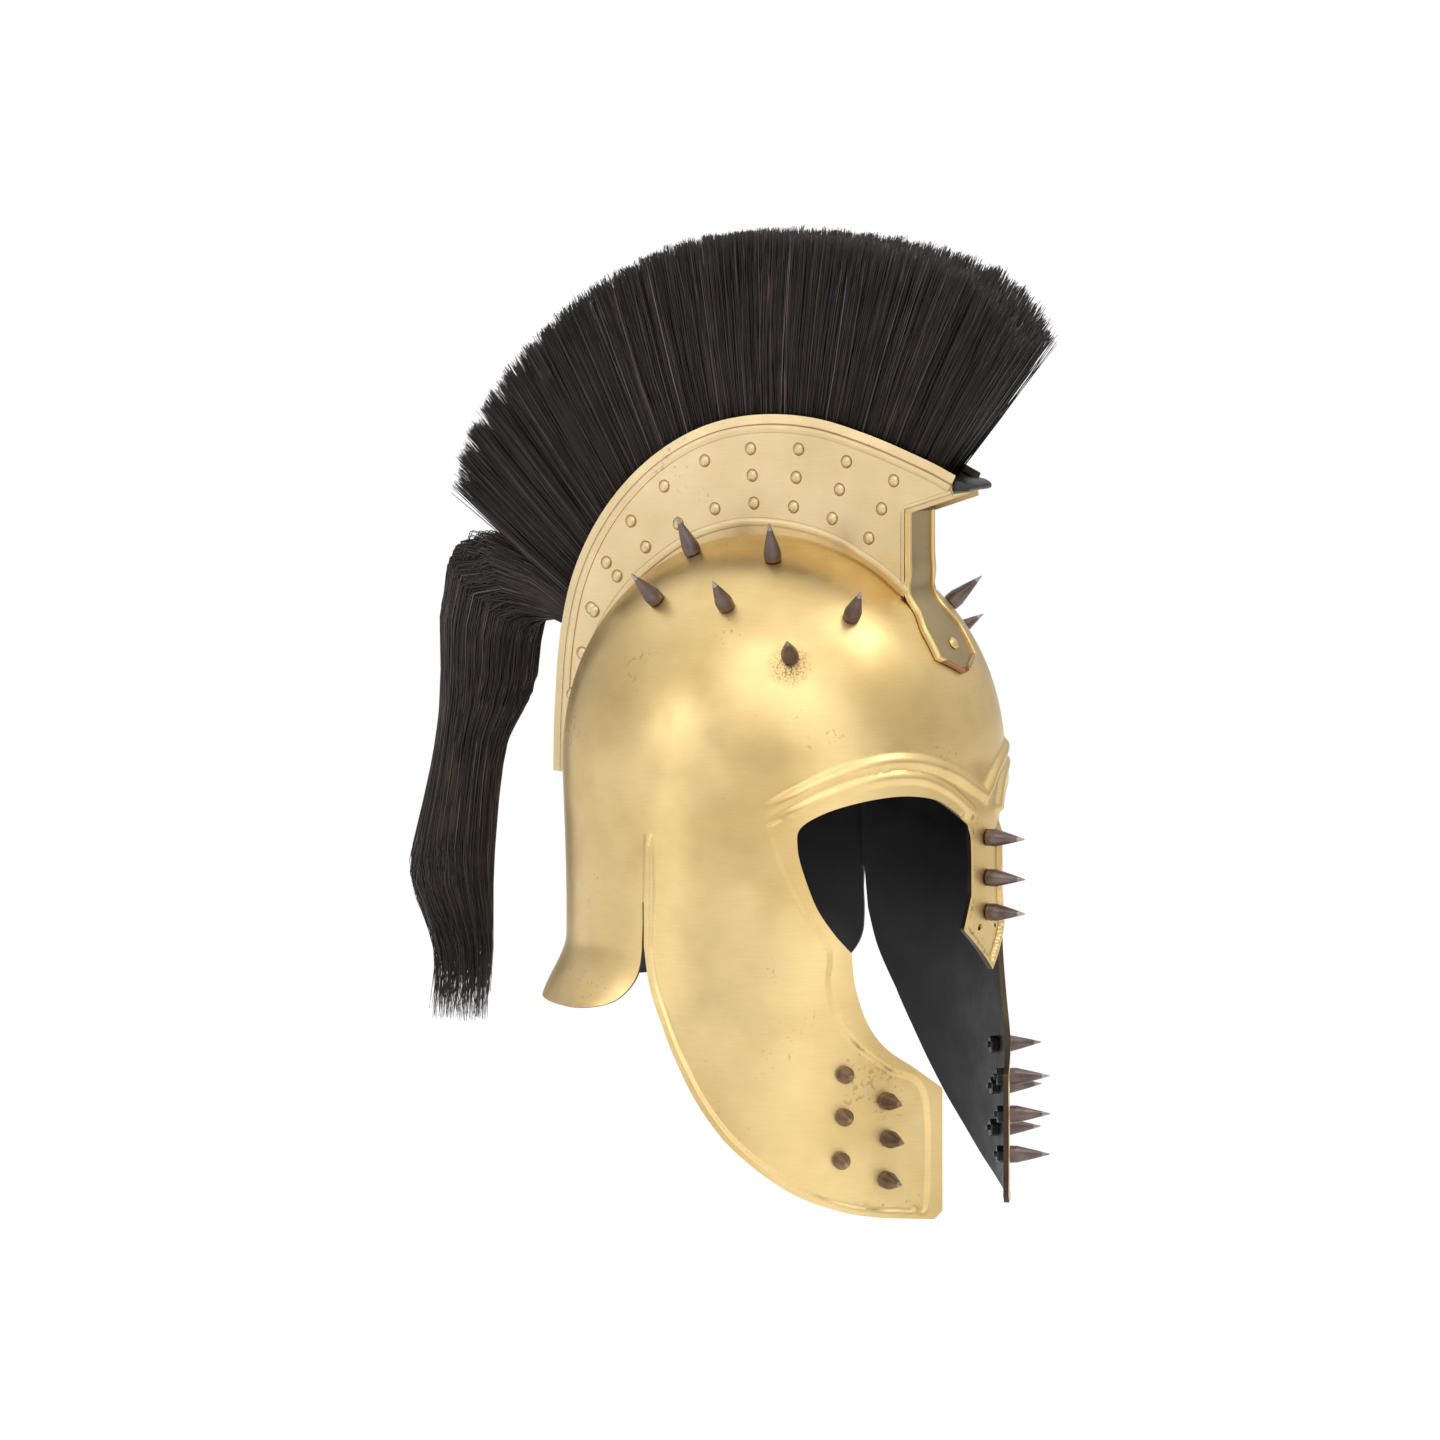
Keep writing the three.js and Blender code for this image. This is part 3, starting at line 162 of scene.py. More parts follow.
HOLDER_LIFT = np.array([
    (50.0, 0.00), (64.0, 0.05), (78.0, 0.60), (96.0, 1.00), (112.0, 0.60), (126.0, 0.05), (184.0, 0.00),
])
BOSS_ROWS = [(1.00, 11), (0.54, 4), (0.06, 9)]
HAIR_EDGE = np.array([
    (0.00, 0.86), (0.05, 0.99), (0.12, 1.05), (0.30, 0.99), (0.50, 0.99), (0.75, 0.97), (0.92, 0.955),
    (1.00, 0.90),
])
# Partings in the fan: place along it, opening in degrees, reach
PARTINGS = [(0.850, 0.85, 0.007), (0.897, 1.0, 0.008), (0.934, 0.6, 0.006), (0.968, 0.4, 0.005)]
# Tail sections: back and down as shares of its length, size, and tilt in degrees
TAIL_LINE = np.array([
    (0.000, 0.000, 0.26, 122), (0.073, -0.046, 0.41, 117), (0.122, -0.073, 0.59, 94),
    (0.188, -0.095, 0.86, 68), (0.259, -0.090, 1.16, 48), (0.292, -0.010, 1.08, 26),
    (0.299, 0.078, 1.03, 10), (0.307, 0.180, 0.94, 5), (0.338, 0.256, 0.79, 8),
    (0.361, 0.333, 0.70, 10), (0.386, 0.474, 0.76, 6), (0.413, 0.610, 0.87, 2),
    (0.410, 0.692, 0.82, -2), (0.386, 0.785, 0.66, -4), (0.378, 0.863, 0.46, 0),
    (0.390, 0.951, 0.26, 0), (0.395, 1.010, 0.11, 0),
])
BOWL_STUDS = [(126.6, 0.915), (66.8, 0.912), (113.2, 0.733), (81.6, 0.729), (37.3, 0.692), (58.9, 0.533)]
BOWL_STUD_NAMES = ["crown_rear", "crown_front", "side_rear", "side_mid", "side_front", "side_low"]
CHEEK_STUDS = [(43.7, 0.658), (43.7, 0.755), (44.4, 0.854), (33.1, 0.722), (32.6, 0.809), (33.2, 0.903)]
CHEEK_STUD_NAMES = ["rear_top", "rear_mid", "rear_low", "front_top", "front_mid", "front_low"]
NASAL_STUD_DROPS = [0.31, 0.52, 0.70]

# Camera: turn from the front towards the wearer's right, climb, distance and width of the view
CAMERA_TURN = 57.0
CAMERA_CLIMB = 5.5
CAMERA_DISTANCE = 6000.0
VIEW_WIDTH = 720.0
VIEW_SHIFT = (-31.75, 22.5)
# Studio, in metres
LIGHT_TARGET = Vector((0, 0.02, -0.12))
FLOOR_HALF = 60.0
FLOOR_LEVEL = -0.75


def smooth(value):
    value = np.clip(value, 0, 1)
    return value * value * (3 - 2 * value)


def curve(table, column, at):
    """A column of a table at any places, along a smooth curve through its rows."""
    keys, values = table[:, 0], table[:, column]
    last = len(keys) - 1
    at = np.clip(at, keys[0], keys[-1])
    i = np.clip(np.searchsorted(keys, at) - 1, 0, last - 1)
    before, after = np.maximum(np.arange(last + 1) - 1, 0), np.minimum(np.arange(last + 1) + 1, last)
    slope = (values[after] - values[before]) / (keys[after] - keys[before])
    span = keys[i + 1] - keys[i]
    t = (at - keys[i]) / span
    start = (1 + 2 * t) * (1 - t) ** 2 * values[i]
    end = (3 - 2 * t) * t**2 * values[i + 1]
    return start + end + t * (1 - t) * span * ((1 - t) * slope[i] - t * slope[i + 1])


def spline(points, steps):
    """Evenly cut curve through points, the kind that leans on each point's neighbours."""
    points = np.asarray(points, float)
    last = len(points) - 1
    at = np.linspace(0, last, steps + 1)
    i = np.minimum(at.astype(int), last - 1)
    t = (at - i)[:, None]
    p0, p1 = points[np.maximum(i - 1, 0)], points[i]
    p2, p3 = points[i + 1], points[np.minimum(i + 2, last)]
    v0, v1 = (p2 - p0) / 2, (p3 - p1) / 2
    return (2 * p1 - 2 * p2 + v0 + v1) * t**3 + (-3 * p1 + 3 * p2 - 2 * v0 - v1) * t**2 + v0 * t + p1


def unit(vectors):
    return vectors / np.maximum(np.linalg.norm(vectors, axis=-1, keepdims=True), 1e-12)


def place(points):
    """Millimetres of this script as metres in the frame."""
    points = np.asarray(points, float) - np.array([0, 0, FRAME_DROP])
    return points * 0.001


def signed_power(value, power):
    return np.sign(value) * np.abs(value) ** power


def level_at(height):
    share = np.clip(np.asarray(height, float) / BOWL_RISE, 0, 1)
    climb = np.arcsin(share ** (FULLNESS / 2)) / (math.pi / 2)
    return np.where(np.asarray(height) <= 0, np.asarray(height) / CHEEK_DROP, climb)


def sheet(turn, level):
    """Point of the sheet's outer face. Level is 1 at the crown, 0 at the widest row, -1 at the chin."""
    turn, level = np.broadcast_arrays(np.asarray(turn, float), np.asarray(level, float))
    angle = np.radians(turn)
    across, ahead = np.sin(angle), np.cos(angle)
    drop = np.maximum(-level, 0)
    climb = np.radians(90 * np.clip(level, 0, 1))
    shrink = np.cos(climb) ** (2 / FULLNESS)
    rise = BOWL_RISE * np.sin(climb) ** (2 / FULLNESS)
    front = ahead >= 0
    power = np.where(front, 2 / curve(SECTIONS, 4, drop), 1)
    half_width = BOWL_HALF_WIDTH * curve(SECTIONS, 1, drop)
    half_length = BOWL_HALF_LENGTH * np.where(front, curve(SECTIONS, 2, drop), curve(SECTIONS, 3, drop))
    x = half_width * shrink * signed_power(across, power)
    y = -half_length * shrink * signed_power(ahead, power)
    z = rise - drop * CHEEK_DROP
    wrapped = (turn + 540) % 360 - 180
    flare = NECK_FLARE * smooth((drop * CHEEK_DROP - NECK_DROP + FLARE_DEPTH) / (FLARE_DEPTH * 1.2))
    flare = flare * smooth((85 - (180 - np.abs(wrapped))) / 25)
    away = unit(np.stack([x / half_width**2, y / half_length**2], -1))
    x, y = x + away[..., 0] * flare, y + away[..., 1] * flare
    y = y - NASAL_FORWARD * np.exp(-((wrapped / 14) ** 2)) * smooth((10 - z) / 30)
    return np.stack([x, y, z], -1)


def sheet_normal(turn, level):
    turn, level = np.broadcast_arrays(np.asarray(turn, float), np.asarray(level, float))
    lower = np.minimum(level, 0.995)
    step = 0.004
    along_turn = sheet(turn + 0.5, lower) - sheet(turn - 0.5, lower)
    along_level = sheet(turn, lower + step) - sheet(turn, lower - step)
    return unit(np.cross(along_turn, along_level))


def inside(points, outline):
    """True for the points within a closed outline."""
    found = np.zeros(len(points), bool)
    px, py = points[:, 0], points[:, 1]
    for a, b in zip(outline, np.roll(outline, -1, axis=0)):
        crosses = (a[1] > py) != (b[1] > py)
        if crosses.any():
            at = (b[0] - a[0]) * (py - a[1]) / (b[1] - a[1] + 1e-12) + a[0]
            found ^= crosses & (px < at)
    return found


def line_distance(points, line):
    """Least distance to a chain of points, and how far along it the nearest place is, from 0 to 1."""
    best = np.full(len(points), 1e9)
    along = np.zeros(len(points))
    lengths = np.linalg.norm(np.diff(line, axis=0), axis=1)
    starts = np.concatenate([[0], np.cumsum(lengths)])
    for k, (a, b) in enumerate(zip(line[:-1], line[1:])):
        ab = b - a
        t = np.clip(((points - a) @ ab) / max(ab @ ab, 1e-12), 0, 1)
        d = np.linalg.norm(points - a - t[:, None] * ab, axis=1)
        nearer = d < best
        best[nearer] = d[nearer]
        along[nearer] = (starts[k] + t[nearer] * lengths[k]) / starts[-1]
    return best, along


def region_depth(points, outline):
    """Distance to a closed outline, positive inside it."""
    closed = np.vstack([outline, outline[:1]])
    distance = line_distance(points, closed)[0]
    return np.where(inside(points, outline), distance, -distance)


def make_piece(name, parts, materials, nodes, sharp=None):
    """A mesh object from parts of (points, triangles, material index), which rides on the root body."""
    points, faces, looks = joined(parts)
    mesh = bpy.data.meshes.new(name)
    mesh.vertices.add(len(points))
    mesh.vertices.foreach_set("co", np.ascontiguousarray(place(points), np.float32).ravel())
    faces = np.ascontiguousarray(faces, np.int32)
    mesh.loops.add(faces.size)
    mesh.loops.foreach_set("vertex_index", faces.ravel())
    mesh.polygons.add(len(faces))
    mesh.polygons.foreach_set("loop_start", np.arange(0, faces.size, 3, dtype=np.int32))
    mesh.polygons.foreach_set("use_smooth", np.ones(len(faces), bool))
    mesh.polygons.foreach_set("material_index", np.asarray(looks, np.int32))
    mesh.update(calc_edges=True)
    mesh.validate()
    for material in materials:
        mesh.materials.append(material)
    if sharp:
        mesh.set_sharp_from_angle(angle=math.radians(sharp))
    piece = bpy.data.objects.new(name, mesh)
    scene.collection.objects.link(piece)
    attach(piece, "root")
    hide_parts(*nodes)
    return mesh


def joined(parts):
    """Several (points, faces, look) as one set of arrays."""
    points, faces, looks, start = [], [], [], 0
    for p, f, look in parts:
        points.append(p)
        faces.append(np.asarray(f) + start)
        looks.append(np.broadcast_to(look, len(f)))
        start += len(p)
    return np.vstack(points), np.vstack(faces), np.concatenate(looks)


def loft(rings, caps=True):
    """Triangles through closed rings of equal count, with the ends closed round their middles."""
    rings = np.asarray(rings, float)
    rows, count = rings.shape[:2]
    index = np.arange(rows * count).reshape(rows, count)
    after = np.roll(index, -1, axis=1)
    faces = [wall(index[:-1].ravel(), after[:-1].ravel(), count)]
    points = rings.reshape(-1, 3)
    if caps:
        n = len(points)
        faces.append(np.stack([after[0], index[0], np.full(count, n)], -1))
        faces.append(np.stack([index[-1], after[-1], np.full(count, n + 1)], -1))
        points = np.vstack([points, rings[0].mean(0), rings[-1].mean(0)])
        return points, outward(points, np.vstack(faces))
    return points, np.vstack(faces)


def wall(i, k, step):
    """Triangles from each edge i to k to the same edge a step further on in the points."""
    return np.vstack([np.stack([i, k, i + step], -1), np.stack([k, k + step, i + step], -1)])


def outward(points, faces):
    """The faces turned so that a closed body faces out."""
    a, b, c = points[faces[:, 0]], points[faces[:, 1]], points[faces[:, 2]]
    volume = np.einsum("ij,ij->i", a, np.cross(b, c)).sum()
    return faces if volume > 0 else faces[:, ::-1]


def triangulated(outline, spots):
    """Triangles over the inside of an outline and its inner spots. Indices count the outline first."""
    coords = np.vstack([outline, spots])
    result = delaunay_2d_cdt([Vector(p) for p in coords], [], [list(range(len(outline)))], 1, 1e-5)
    origin = [source[0] for source in result[3]]
    return coords, np.array([[origin[v] for v in face] for face in result[2]])


# Materials
class Look:
    """The nodes of a material or a world, with short calls for textures and mixes."""

    def __init__(self, owner):
        owner.use_nodes = True
        self.owner = owner
        self.nodes = owner.node_tree.nodes
        self.where = self.add("TexCoord").outputs
        self.shader = self.nodes.get("Principled BSDF")

    def add(self, kind):
        return self.nodes.new("ShaderNode" + kind)

    def feed(self, socket, value):
        """Links an output to a socket, or sets the socket to a number or a colour."""
        if hasattr(value, "links"):
            self.owner.node_tree.links.new(value, socket)
        else:
            socket.default_value = (*value, 1) if isinstance(value, tuple) else value

    def noise(self, scale, stretch=(1, 1, 1), detail=4.0, rough=0.55):
        mapping = self.add("Mapping")
        mapping.inputs["Scale"].default_value = stretch
        self.feed(mapping.inputs["Vector"], self.where["Object"])
        texture = self.add("TexNoise")
        texture.inputs["Scale"].default_value = scale
        texture.inputs["Detail"].default_value = detail
        texture.inputs["Roughness"].default_value = rough
        self.feed(texture.inputs["Vector"], mapping.outputs["Vector"])
        return texture.outputs["Fac"]

    def ramp(self, source, *stops):
        """Tones over a value. Each stop is a position with a colour, or with one number for a grey."""
        node = self.add("ValToRGB")
        elements = node.color_ramp.elements
        while len(elements) < len(stops):
            elements.new(0.5)
        for element, (position, tone) in zip(elements, stops):
            element.position = position
            element.color = (*tone, 1) if isinstance(tone, tuple) else (tone, tone, tone, 1)
        self.feed(node.inputs["Fac"], source)
        return node.outputs["Color"]

    def mix(self, factor, a, b, kind="MIX"):
        node = self.add("Mix")
        node.data_type = "RGBA"
        node.blend_type = kind
        for index, value in ((0, factor), (6, a), (7, b)):
            self.feed(node.inputs[index], value)
        return node.outputs[2]

    def times(self, a, b):
        node = self.add("Math")
        node.operation = "MULTIPLY"
        self.feed(node.inputs[0], a)
        self.feed(node.inputs[1], b)
        return node.outputs[0]

    def bump(self, *heights):
        """Adds height textures to the shader, each as (source, strength, distance in metres)."""
        normal = None
        for source, strength, distance in heights:
            node = self.add("Bump")
            node.inputs["Strength"].default_value = strength
            node.inputs["Distance"].default_value = distance
            self.feed(node.inputs["Height"], source)
            if normal:
                self.feed(node.inputs["Normal"], normal)
            normal = node.outputs["Normal"]
        self.feed(self.shader.inputs["Normal"], normal)

    def finished(self, tone, rough):
        self.feed(self.shader.inputs["Base Color"], tone)
        self.feed(self.shader.inputs["Roughness"], rough)
        return self.owner


def new_look(name):
    return Look(bpy.data.materials.new(name))


def brass_material(name, light, dark, roughness, stain=None):
    """Satin brass with a brushed grain, soft blotches and small dark marks."""
    look = new_look(name)
    tone = look.ramp(look.noise(16, detail=3), (0.36, dark), (0.62, light))
    brushed = look.noise(90, (1, 1, 22), detail=3, rough=0.7)
    tone = look.mix(0.8, tone, look.ramp(brushed, (0.3, 0.90), (0.7, 1.0)), "MULTIPLY")
    marks = look.times(look.noise(420, detail=2, rough=0.4), look.noise(26, detail=2))
    marks = look.ramp(marks, (0.405, 0), (0.47, 1))
    tone = look.mix(look.times(marks, 0.35), tone, (0.23, 0.13, 0.05))
    rough = look.ramp(look.noise(42, detail=5), (0.3, roughness - 0.05), (0.7, roughness + 0.07))
    if stain is not None:
        spot = look.add("VectorMath")
        spot.operation = "DISTANCE"
        spot.inputs[1].default_value = stain
        look.feed(spot.inputs[0], look.where["Object"])
        near = look.ramp(look.times(spot.outputs["Value"], 80), (0.15, 1), (1.0, 0))
        pits = look.ramp(look.noise(900, detail=2), (0.50, 0), (0.60, 1))
        tone = look.mix(look.times(near, pits), tone, (0.05, 0.03, 0.015))
        tone = look.mix(look.times(near, 0.35), tone, (0.25, 0.16, 0.06))
    look.shader.inputs["Metallic"].default_value = 1.0
    dents, grain = look.noise(22, detail=1), look.noise(1500, detail=2)
    look.bump((dents, 0.25, 0.0012), (brushed, 0.10, 0.0002), (grain, 0.12, 0.0001))
    return look.finished(tone, rough)


def black_paint():
    look = new_look("black_paint")
    tone = look.ramp(look.noise(30, detail=5), (0.35, (0.003, 0.003, 0.0035)), (0.70, 0.009))
    look.shader.inputs["Specular IOR Level"].default_value = 0.3
    look.bump((look.noise(350, detail=3), 0.15, 0.0004))
    return look.finished(tone, look.ramp(look.noise(60), (0.3, 0.38), (0.7, 0.55)))


def bronze_material(name, light, dark, roughness):
    """Dark bronze, rubbed brighter here and there."""
    look = new_look(name)
    tone = look.ramp(look.noise(110, rough=0.5), (0.32, dark), (0.68, light))
    look.shader.inputs["Metallic"].default_value = 0.85
    look.bump((look.noise(1400, detail=2), 0.2, 0.0002))
    rough = look.ramp(look.noise(500), (0.3, roughness - 0.08), (0.7, roughness + 0.1))
    return look.finished(tone, rough)


def hair_material(name, lift):
    """Near-black hair with a tone for each strand, a few of them brown or grey."""
    look = new_look(name)
    island = look.add("NewGeometry").outputs["Random Per Island"]
    tones = [(0.00, (0.006, 0.0055, 0.0055)), (0.70, (0.013, 0.010, 0.009)),
             (0.93, (0.028, 0.018, 0.014)), (1.00, (0.070, 0.055, 0.048))]
    base = look.ramp(island, *[(at, tuple(part * lift for part in tone)) for at, tone in tones])
    shade = look.ramp(look.noise(60, detail=3), (0.3, 0.7), (0.7, 1.0))
    look.shader.inputs["Specular IOR Level"].default_value = 0.35
    return look.finished(look.mix(1.0, base, shade, "MULTIPLY"), look.ramp(island, (0.0, 0.42), (1.0, 0.58)))


def base_material():
    """Black moulded back of the brush."""
    look = new_look("brush_back")
    tone = look.ramp(look.noise(120), (0.3, 0.008), (0.7, (0.018, 0.017, 0.017)))
    look.bump((look.noise(900, detail=2), 0.15, 0.0002))
    return look.finished(tone, look.ramp(look.noise(300), (0.3, 0.35), (0.7, 0.5)))


# Shell
ARC = math.radians(BOWL_HALF_LENGTH)
TOP_HEIGHT = 20.0
COLUMN_STEP = 1.5
RELIEF_REACH = 5.6


def on_map(rows, size=1.0):
    """Turn and height as flat millimetres. The heights may be shares of a size."""
    return np.asarray(rows, float) * [ARC, size]


def traced(rows, size, steps):
    """Smooth line on the map through rows of turn and height as a share of a size."""
    return spline(on_map(rows, size), steps)


def turn_at_reach(reach, height):
    drop = max(-height, 0) / CHEEK_DROP
    half_width = BOWL_HALF_WIDTH * curve(SECTIONS, 1, drop)
    power = curve(SECTIONS, 4, drop) / 2
    return math.degrees(math.asin((reach / half_width) ** power))


def nasal_edge(inset):
    rows = [(NASAL_HALF_WIDTH + 0.6, 0.23 * NASAL_DROP), (NASAL_HALF_WIDTH, 0.38 * NASAL_DROP),
            (NASAL_HALF_WIDTH, 0.6 * NASAL_DROP), (NASAL_SHOULDER_HALF_WIDTH, NASAL_SHOULDER_DROP - inset / 2)]
    return [(turn_at_reach(reach - inset, -drop), -drop) for reach, drop in rows]


def filled(line, step):
    """The same chain of points with more of them, evenly along it."""
    line = np.asarray(line, float)
    lengths = np.linalg.norm(np.diff(line, axis=0), axis=1)
    at = np.concatenate([[0], np.cumsum(lengths)])
    count = max(int(round(at[-1] / step)), 1)
    stops = np.linspace(0, at[-1], count + 1)
    return np.stack([np.interp(stops, at, line[:, k]) for k in (0, 1)], -1)


def shell_edge():
    """Cut edge of one half, from the nasal guard's tip round the eye and cheek to the neck's middle."""
    nasal = on_map(nasal_edge(0)[::-1])
    eye = spline(np.vstack([on_map(nasal_edge(0)[:1]), on_map(EYE_EDGE, -POINT_DROP)]), 120)
    mouth = traced(MOUTH_EDGE, -CHEEK_DROP, 50)
    front = on_map(CHEEK_FRONT_EDGE, -CHEEK_DROP)
    rear = traced(CHEEK_REAR_EDGE, -CHEEK_DROP, 90)
    slit = on_map([(98.15, -SLIT_DROP - 1.0), (SLIT_TURN, -SLIT_DROP), (98.55, -SLIT_DROP - 1.0)])
    neck = traced(NECK_EDGE, -NECK_DROP, 60)
    chains = [on_map([(0, -NASAL_DROP)]), nasal, eye[1:], mouth, front, rear, slit, neck,
              on_map([(180, -NECK_DROP)])]
    return filled(np.vstack(chains), 1.1)


def relief_at(spots):
    """How far the outer face stands proud at spots of the map."""
    lower, upper = traced(LOWER_RIDGE, BOWL_RISE, 60), traced(UPPER_RIDGE, BOWL_RISE, 60)
    inner = traced(BORDER_LINE, -CHEEK_DROP, 90)
    border = np.vstack([lower[::-1], inner, on_map([
        (27, -CHEEK_DROP - 3), (10, -CHEEK_DROP - 3), (10, -0.6 * CHEEK_DROP), (30, -0.2 * CHEEK_DROP),
        (16, -0.1 * CHEEK_DROP)])])
    edge = traced(CHEEK_REAR_EDGE, -CHEEK_DROP, 60)
    slit_top = on_map([(SLIT_TURN, -0.42 * SLIT_DROP)])[0]
    chin = on_map([(24.0, -0.998 * CHEEK_DROP)])
    rear_line = np.vstack([chin, edge, slit_top])
    nasal = np.vstack([on_map(nasal_edge(0)), on_map([(0, -NASAL_DROP)])])
    height = RELIEF * smooth(region_depth(spots, border) / 2.6 + 0.5)
    distance, along = line_distance(spots, rear_line)
    lip = smooth((4.6 - distance) / 1.6) * smooth((1 - along) / 0.03)
    lip = lip * smooth((98.9 * ARC - spots[:, 0]) / 0.9)
    height = np.maximum(height, 1.3 * lip)
    distance, along = line_distance(spots, nasal)
    rim = smooth((NASAL_RIM_WIDTH + 0.4 - distance) / 0.8) * smooth((along - 0.01) / 0.1 + 0.2)
    nasal_side = (spots[:, 0] < 22 * ARC) & (spots[:, 1] < -12)
    height = np.maximum(height, np.where(nasal_side, 2.1 * rim, 0))
    for line, tall, wide in ((lower, 2.4, 5.0), (upper, 2.3, 4.8)):
        distance, along = line_distance(spots, line)
        bead = tall * np.clip(1 - (distance / wide) ** 2, 0, 1) ** 1.4 * smooth(along / 0.16 + 0.05)
        height = np.maximum(height, bead)
    return height


def seam_at(spots):
    """Soldered seam inside, straight up from the slit."""
    line = on_map([(SLIT_TURN, -SLIT_DROP), (SLIT_TURN, 8)])
    distance, _ = line_distance(spots, line)
    return 0.7 * np.exp(-((distance / 1.3) ** 2))


def grid_spots(outline, fine, near_lines):
    """Spots inside an outline, close together near the given lines."""
    low, high = outline.min(0), outline.max(0)
    columns = np.arange(low[0], high[0], fine)
    rows = np.arange(low[1], high[1], fine * 0.866)
    i, j = np.meshgrid(np.arange(len(columns)), np.arange(len(rows)), indexing="ij")
    spots = np.stack([columns[i] + np.where(j % 2, fine / 2, 0), rows[j]], -1).reshape(-1, 2)
    used = ((i % 3 == 0) & (j % 3 == 0)).ravel()
    for line, reach in near_lines:
        used |= line_distance(spots, line)[0] < reach
    spots = spots[used]
    return spots[region_depth(spots, outline) > fine * 0.6]


def shell_half(edge, fine, near_lines, face):
    """Map spots and triangles of one half below the bowl's grid, with one of the nasal guard's two small holes
    cut.
    """
    top = on_map([(turn, TOP_HEIGHT) for turn in np.arange(180, -0.1, -COLUMN_STEP)])
    side = filled(np.array([[180 * ARC, -NECK_DROP], [180 * ARC, TOP_HEIGHT]]), 2.5)[1:-1]
    middle = filled(np.array([[0, TOP_HEIGHT], [0, -NASAL_DROP]]), 2.0)[1:-1]
    outline = np.vstack([edge, side, top, middle])
    hole_at = on_map([(turn_at_reach(NASAL_HOLE_SPACING / 2, -NASAL_SHOULDER_DROP), -NASAL_SHOULDER_DROP)])[0]
    angles = np.linspace(0, 2 * math.pi, 16, endpoint=False)
    hole = hole_at + NASAL_HOLE_RADIUS * np.stack([np.cos(angles), np.sin(angles)], -1)
    spots = grid_spots(outline, fine, near_lines)
    spots = spots[np.linalg.norm(spots - hole_at, axis=1) > NASAL_HOLE_RADIUS * 1.4]
    coords, faces = triangulated(outline, np.vstack([hole, spots]))
    centres = coords[faces].mean(1)
    faces = faces[np.linalg.norm(centres - hole_at, axis=1) > NASAL_HOLE_RADIUS * 0.93]
    turn, height = coords[:, 0] / ARC, coords[:, 1]
    level = level_at(height)
    points = sheet(turn, level) + sheet_normal(turn, level) * face(coords)[:, None]
    return points, faces, len(edge), len(outline)


def build_shell(brass, paint, edge_look):
    edge = shell_edge()
    near = [(line, RELIEF_REACH) for line in (
        traced(LOWER_RIDGE, BOWL_RISE, 40), traced(UPPER_RIDGE, BOWL_RISE, 40),
        traced(BORDER_LINE, -CHEEK_DROP, 60), edge,
        on_map([(SLIT_TURN, -SLIT_DROP), (SLIT_TURN, -0.36 * SLIT_DROP)]))]
    seam = [(on_map([(SLIT_TURN, -SLIT_DROP), (SLIT_TURN, 8)]), 3.0), (edge, 1.5)]
    outer, outer_faces, edge_count, rim_count = shell_half(edge, 1.05, near, relief_at)
    inner, inner_faces, _, _ = shell_half(edge, 1.4, seam, lambda spots: -WALL - seam_at(spots))
    turns = np.arange(-180, 180, COLUMN_STEP)
    start = level_at(TOP_HEIGHT)
    levels = np.linspace(start, 1, 56)[:-1]
    bowl_turn, bowl_level = np.meshgrid(turns, levels)
    normals = sheet_normal(bowl_turn, bowl_level)
    spots = np.stack([np.abs(bowl_turn) * ARC, np.full(bowl_turn.shape, TOP_HEIGHT)], -1)
    spots[..., 1] = sheet(bowl_turn, bowl_level)[..., 2]
    flat = spots.reshape(-1, 2)
    rise = np.zeros(len(flat))
    low = flat[:, 1] < 30
    rise[low] = relief_at(flat[low])
    middle = sheet(bowl_turn, bowl_level)
    bowl_out, bowl_in = middle + normals * rise.reshape(bowl_turn.shape)[..., None], middle - normals * WALL
    parts = []
    for points, faces, look in ((outer, outer_faces, 0), (inner, inner_faces, 1)):
        parts += [(points * [side, 1, 1], faces, look) for side in (1, -1)]
    for grid, height, look in ((bowl_out, BOWL_RISE, 0), (bowl_in, BOWL_RISE - WALL, 1)):
        points, faces = loft(grid, caps=False)
        last = np.arange(len(points) - len(turns), len(points))
        fan = np.stack([last, np.roll(last, -1), np.full(len(turns), len(points))], -1)
        parts.append((np.vstack([points, [0, 0, height]]), np.vstack([faces, fan]), look))
    for side in (1, -1):
        for loop, close in ((np.arange(edge_count), False), (np.arange(rim_count, rim_count + 16), True)):
            n = len(loop)
            i = np.arange(n if close else n - 1)
            points = np.vstack([outer[loop], inner[loop]]) * [side, 1, 1]
            parts.append((points, wall(i, (i + 1) % n, n), 2))
    mesh = make_piece("shell", parts, [brass, paint, edge_look], ["helmet_shell"])
    work = bmesh.new()
    work.from_mesh(mesh)
    bmesh.ops.remove_doubles(work, verts=work.verts, dist=0.00002)
    bmesh.ops.recalc_face_normals(work, faces=work.faces)
    work.to_mesh(mesh)
    work.free()
    mesh.set_sharp_from_angle(angle=math.radians(50))


# Crest holder
def bowl_radius(turn):
    angle = np.radians(turn)
    rise = np.where(np.sin(angle) > 0, (np.abs(np.sin(angle)) / BOWL_RISE) ** FULLNESS, 0)
    reach = (np.abs(np.cos(angle)) / BOWL_HALF_LENGTH) ** FULLNESS
    return (rise + reach) ** (-1 / FULLNESS)


def lower_radius(turn):
    return bowl_radius(turn) + END_GAP + curve(HOLDER_LIFT, 1, turn) * (CROWN_GAP - END_GAP)


def upper_radius(turn):
    return bowl_radius(turn) + HOLDER_HEIGHT * curve(HOLDER_EDGE, 1, turn)


def polar(turn, radius):
    """Back and up in the middle plane."""
    return np.stack([-radius * np.cos(np.radians(turn)), radius * np.sin(np.radians(turn))], -1)


def turn_at_front(front):
    turns = np.arange(30, 80, 0.02)
    return float(turns[np.argmax(lower_radius(turns) * np.cos(np.radians(turns)) <= front)])


